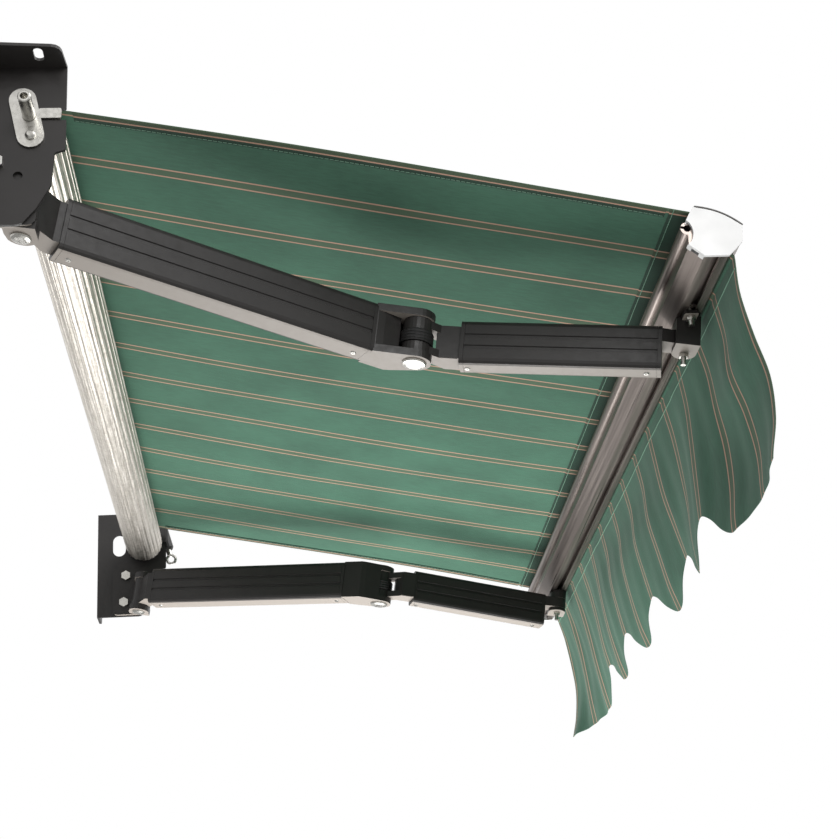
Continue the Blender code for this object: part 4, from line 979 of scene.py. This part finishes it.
def bar_strip(points, width, left, right):
    """Thin strip that follows outline points of the bar's end, between two places along the bar."""
    mesh = bmesh.new()
    rings = []
    for i, point in enumerate(points):
        before, after = points[max(i - 1, 0)], points[min(i + 1, len(points) - 1)]
        run = Vector((after[0] - before[0], after[1] - before[1])).normalized()
        outward = Vector((-run.y, run.x)) * width
        inner, outer = bar_point(*point), bar_point(point[0] + outward.x, point[1] + outward.y)
        rings.append([mesh.verts.new((x, *side)) for side in (inner, outer) for x in (left, right)])
    for a, b in zip(rings, rings[1:]):
        for i, j in ((0, 1), (1, 3), (3, 2), (2, 0)):
            mesh.faces.new((a[i], a[j], b[j], b[i]))
    for ring in (rings[0], rings[-1]):
        mesh.faces.new((ring[0], ring[1], ring[3], ring[2]))
    return mesh


def take_in(whole, mesh):
    """Adds one editable mesh to another."""
    data = bpy.data.meshes.new("part")
    mesh.to_mesh(data)
    mesh.free()
    whole.from_mesh(data)
    bpy.data.meshes.remove(data)


def mirrored(mesh):
    """A mesh with its mirror image at the bar's far end added."""
    copy = bmesh.ops.duplicate(mesh, geom=mesh.verts[:] + mesh.edges[:] + mesh.faces[:])
    for vert in copy["geom"]:
        if isinstance(vert, bmesh.types.BMVert):
            vert.co.x = 2 * MIDDLE_X - vert.co.x
    return mesh


class AWNING_OT_make_bar_trims(bpy.types.Operator):
    """Add the rims and the lugs of the bar's end caps, and black strips in their gaps as painted shade"""

    bl_idname = "awning.make_bar_trims"
    bl_label = "Make Bar Trims"

    def execute(self, context):
        along = CROWN_END - CROWN_START
        upward = Vector((-along.y, along.x)).normalized()
        crown = []
        for i in range(CROWN_STEPS + 1):
            share = i / CROWN_STEPS
            crown.append(CROWN_START + along * share + upward * CROWN_RISE * 4 * share * (1 - share))
        # A thin grey strip along the top of each cap's crown, darker than the white cap
        rim = mirrored(bar_strip(crown, 0.0010, CAP_FACE - 0.0008, CAP_FACE + 0.0030))
        new_piece("bar_cap_rims", rim, finish("grey nylon"), "bar")

        back = CAP_FACE + CAP_THICK
        lugs = bmesh.new()
        for ends in CAP_LUGS:
            take_in(lugs, bar_strip(ends, 0.0012, back - 0.0010, back + 0.0065))
        new_piece("bar_cap_lugs", mirrored(lugs), finish("white nylon"), "bar")
        # Painted shade: a thin black strip set in the gap of each cap, between its lugs
        gap = mirrored(bar_strip(CAP_GAP, 0.0004, back, back + 0.0060))
        new_piece("bar_cap_gaps", gap, finish("black nylon"), "bar")
        return {"FINISHED"}


class AWNING_OT_make_screws(bpy.types.Operator):
    """Set the screws in the undersides of the arms, which hold their end castings"""

    bl_idname = "awning.make_screws"
    bl_label = "Make Arm Screws"

    def execute(self, context):
        tree = screw_tree()
        values = {
            "Head Radius": sizes().screw_radius, "Head Height": SCREW_HEIGHT, "Material": finish("zinc")}
        arms = (
            ("rear", REAR_FRAME, REAR_SCREWS, REAR_MIDDLE, REAR_HEIGHT),
            ("fore", FORE_BODY, FORE_SCREWS, 0.0, FORE_HEIGHT),
        )
        for label, local, spots, across, height in arms:
            for side in SIDES:
                places = []
                for along in spots:
                    point = local @ Vector((along, across, -height / 2))
                    way = local.to_3x3() @ Vector((0, 0, -1))
                    if side == "right":
                        point = mirror(point)
                        way = Vector((-way.x, way.y, way.z))
                    places.append((point, way))
                mesh = grow(guide_points(places), tree, values)
                settle(f"{side}_{label}_screws", mesh, finish("zinc"), f"{side}_{label}",
                       smooth=30.0)
        return {"FINISHED"}


# Each lamp's name, place, target, size in metres and power in watts
LAMPS = (
    ("top lamp", (0.8, -2.6, 2.4), (0.8, -0.5, 0.0), 2.6, 70),
    ("far lamp", (1.65, -0.42, -1.30), (1.5, -0.55, 0.0), 1.4, 31),
    ("near lamp", (-2.6, -1.3, 1.0), (0.1, -0.7, -0.1), 1.5, 50),
)

# Strength of the world's light on the awning, and of the white that the camera sees behind it
SOFT_LIGHT = 0.36
WHITE = 1.0

# The floor's half width, its level and the glow that only the camera sees
FLOOR_REACH = 14.0
FLOOR_LEVEL = -2.5
FLOOR_GLOW = 0.45

CAMERA_PLACE = (-1.57638, -0.361696, -1.04382)
CAMERA_RIGHT = (-0.065204, -0.995771, -0.064719)
CAMERA_UP = (-0.397585, -0.033562, 0.916951)
CAMERA_LENS = 70.32


class AWNING_OT_set_stage(bpy.types.Operator):
    """Set the pale floor, the soft lamps and the camera"""

    bl_idname = "awning.set_stage"
    bl_label = "Set Stage"

    def execute(self, context):
        context.scene.view_settings.view_transform = "Standard"
        make_floor()
        make_world()
        for values in LAMPS:
            lamp(*values)
        make_camera()
        return {"FINISHED"}


def make_floor():
    """Broad pale floor below the awning."""
    material, tree, shader, place = new_material("pale floor", 0.9)
    tint = mix_colour(tree, noise(tree, place, 0.8), linear("#e6e6e4"), linear("#f4f4f3"))
    tree.links.new(tint, shader.inputs["Base Color"])
    light = add(tree, "ShaderNodeLightPath")
    glow = math_node(tree, "MULTIPLY", light.outputs["Is Camera Ray"], FLOOR_GLOW)
    shader.inputs["Emission Color"].default_value = (1, 1, 1, 1)
    tree.links.new(glow, shader.inputs["Emission Strength"])
    mesh = bpy.data.meshes.new("floor")
    turns = ((-1, -1), (1, -1), (1, 1), (-1, 1))
    corners = [(FLOOR_REACH * x, FLOOR_REACH * y, FLOOR_LEVEL) for x, y in turns]
    mesh.from_pydata(corners, [], [(0, 1, 2, 3)])
    mesh.materials.append(material)
    floor = bpy.data.objects.new("floor", mesh)
    bpy.context.scene.collection.objects.link(floor)


def make_world():
    """Even pale light, seen as plain white behind the awning."""
    world = bpy.data.worlds.new("studio")
    world.use_nodes = True
    tree = world.node_tree
    tree.nodes.clear()
    light = add(tree, "ShaderNodeLightPath")
    seen = math_node(tree, "MAXIMUM", light.outputs["Is Camera Ray"], light.outputs["Is Transmission Ray"])
    seen = math_node(tree, "MAXIMUM", seen, light.outputs["Is Glossy Ray"])
    soft = add(tree, "ShaderNodeBackground", inputs={"Color": (1, 1, 1, 1), "Strength": SOFT_LIGHT})
    white = add(tree, "ShaderNodeBackground", inputs={"Color": (1, 1, 1, 1), "Strength": WHITE})
    mixed = add(tree, "ShaderNodeMixShader", inputs={0: seen, 1: soft.outputs[0], 2: white.outputs[0]})
    add(tree, "ShaderNodeOutputWorld", inputs={"Surface": mixed.outputs[0]})
    bpy.context.scene.world = world


def lamp(name, place, target, size, power):
    """Square soft lamp aimed at a point."""
    data = bpy.data.lights.new(name, "AREA")
    data.size = size
    data.energy = power
    made = bpy.data.objects.new(name, data)
    made.location = place
    made.rotation_euler = (Vector(target) - Vector(place)).to_track_quat("-Z", "Y").to_euler()
    bpy.context.scene.collection.objects.link(made)


def make_camera():
    """Camera below and left of the open awning, looking up along the cloth's underside."""
    data = bpy.data.cameras.new("camera")
    data.sensor_width = 36.0
    data.lens = CAMERA_LENS
    data.clip_end = 60.0
    right = Vector(CAMERA_RIGHT)
    up = Vector(CAMERA_UP)
    turn = Matrix((right, up, right.cross(up))).transposed().to_4x4()
    made = bpy.data.objects.new("camera", data)
    made.matrix_world = Matrix.Translation(CAMERA_PLACE) @ turn
    bpy.context.scene.collection.objects.link(made)
    bpy.context.scene.camera = made


class AWNING_PT_panel(bpy.types.Panel):
    """Sidebar list of the awning's steps and sizes"""

    bl_idname = "AWNING_PT_panel"
    bl_label = "Awning"
    bl_space_type = "VIEW_3D"
    bl_region_type = "UI"
    bl_category = "Awning"

    def draw(self, context):
        layout = self.layout
        for step in STEPS:
            layout.operator(step.bl_idname)
        for group in (context.scene.awning_sizes, context.scene.awning_colours):
            for name in group.__annotations__:
                layout.prop(group, name)


STEPS = (
    AWNING_OT_finish_metal,
    AWNING_OT_make_roller,
    AWNING_OT_make_cloth,
    AWNING_OT_make_valance,
    AWNING_OT_make_bar_trims,
    AWNING_OT_make_screws,
    AWNING_OT_set_stage,
)
CLASSES = (AwningSizes, AwningColours, *STEPS, AWNING_PT_panel)


def register():
    for item in CLASSES:
        bpy.utils.register_class(item)
    bpy.types.Scene.awning_sizes = PointerProperty(type=AwningSizes)
    bpy.types.Scene.awning_colours = PointerProperty(type=AwningColours)


def unregister():
    del bpy.types.Scene.awning_colours
    del bpy.types.Scene.awning_sizes
    for item in reversed(CLASSES):
        bpy.utils.unregister_class(item)


def main():
    register()
    for step in STEPS:
        section, name = step.bl_idname.split(".")
        getattr(getattr(bpy.ops, section), name)()


if __name__ == "__main__":
    main()
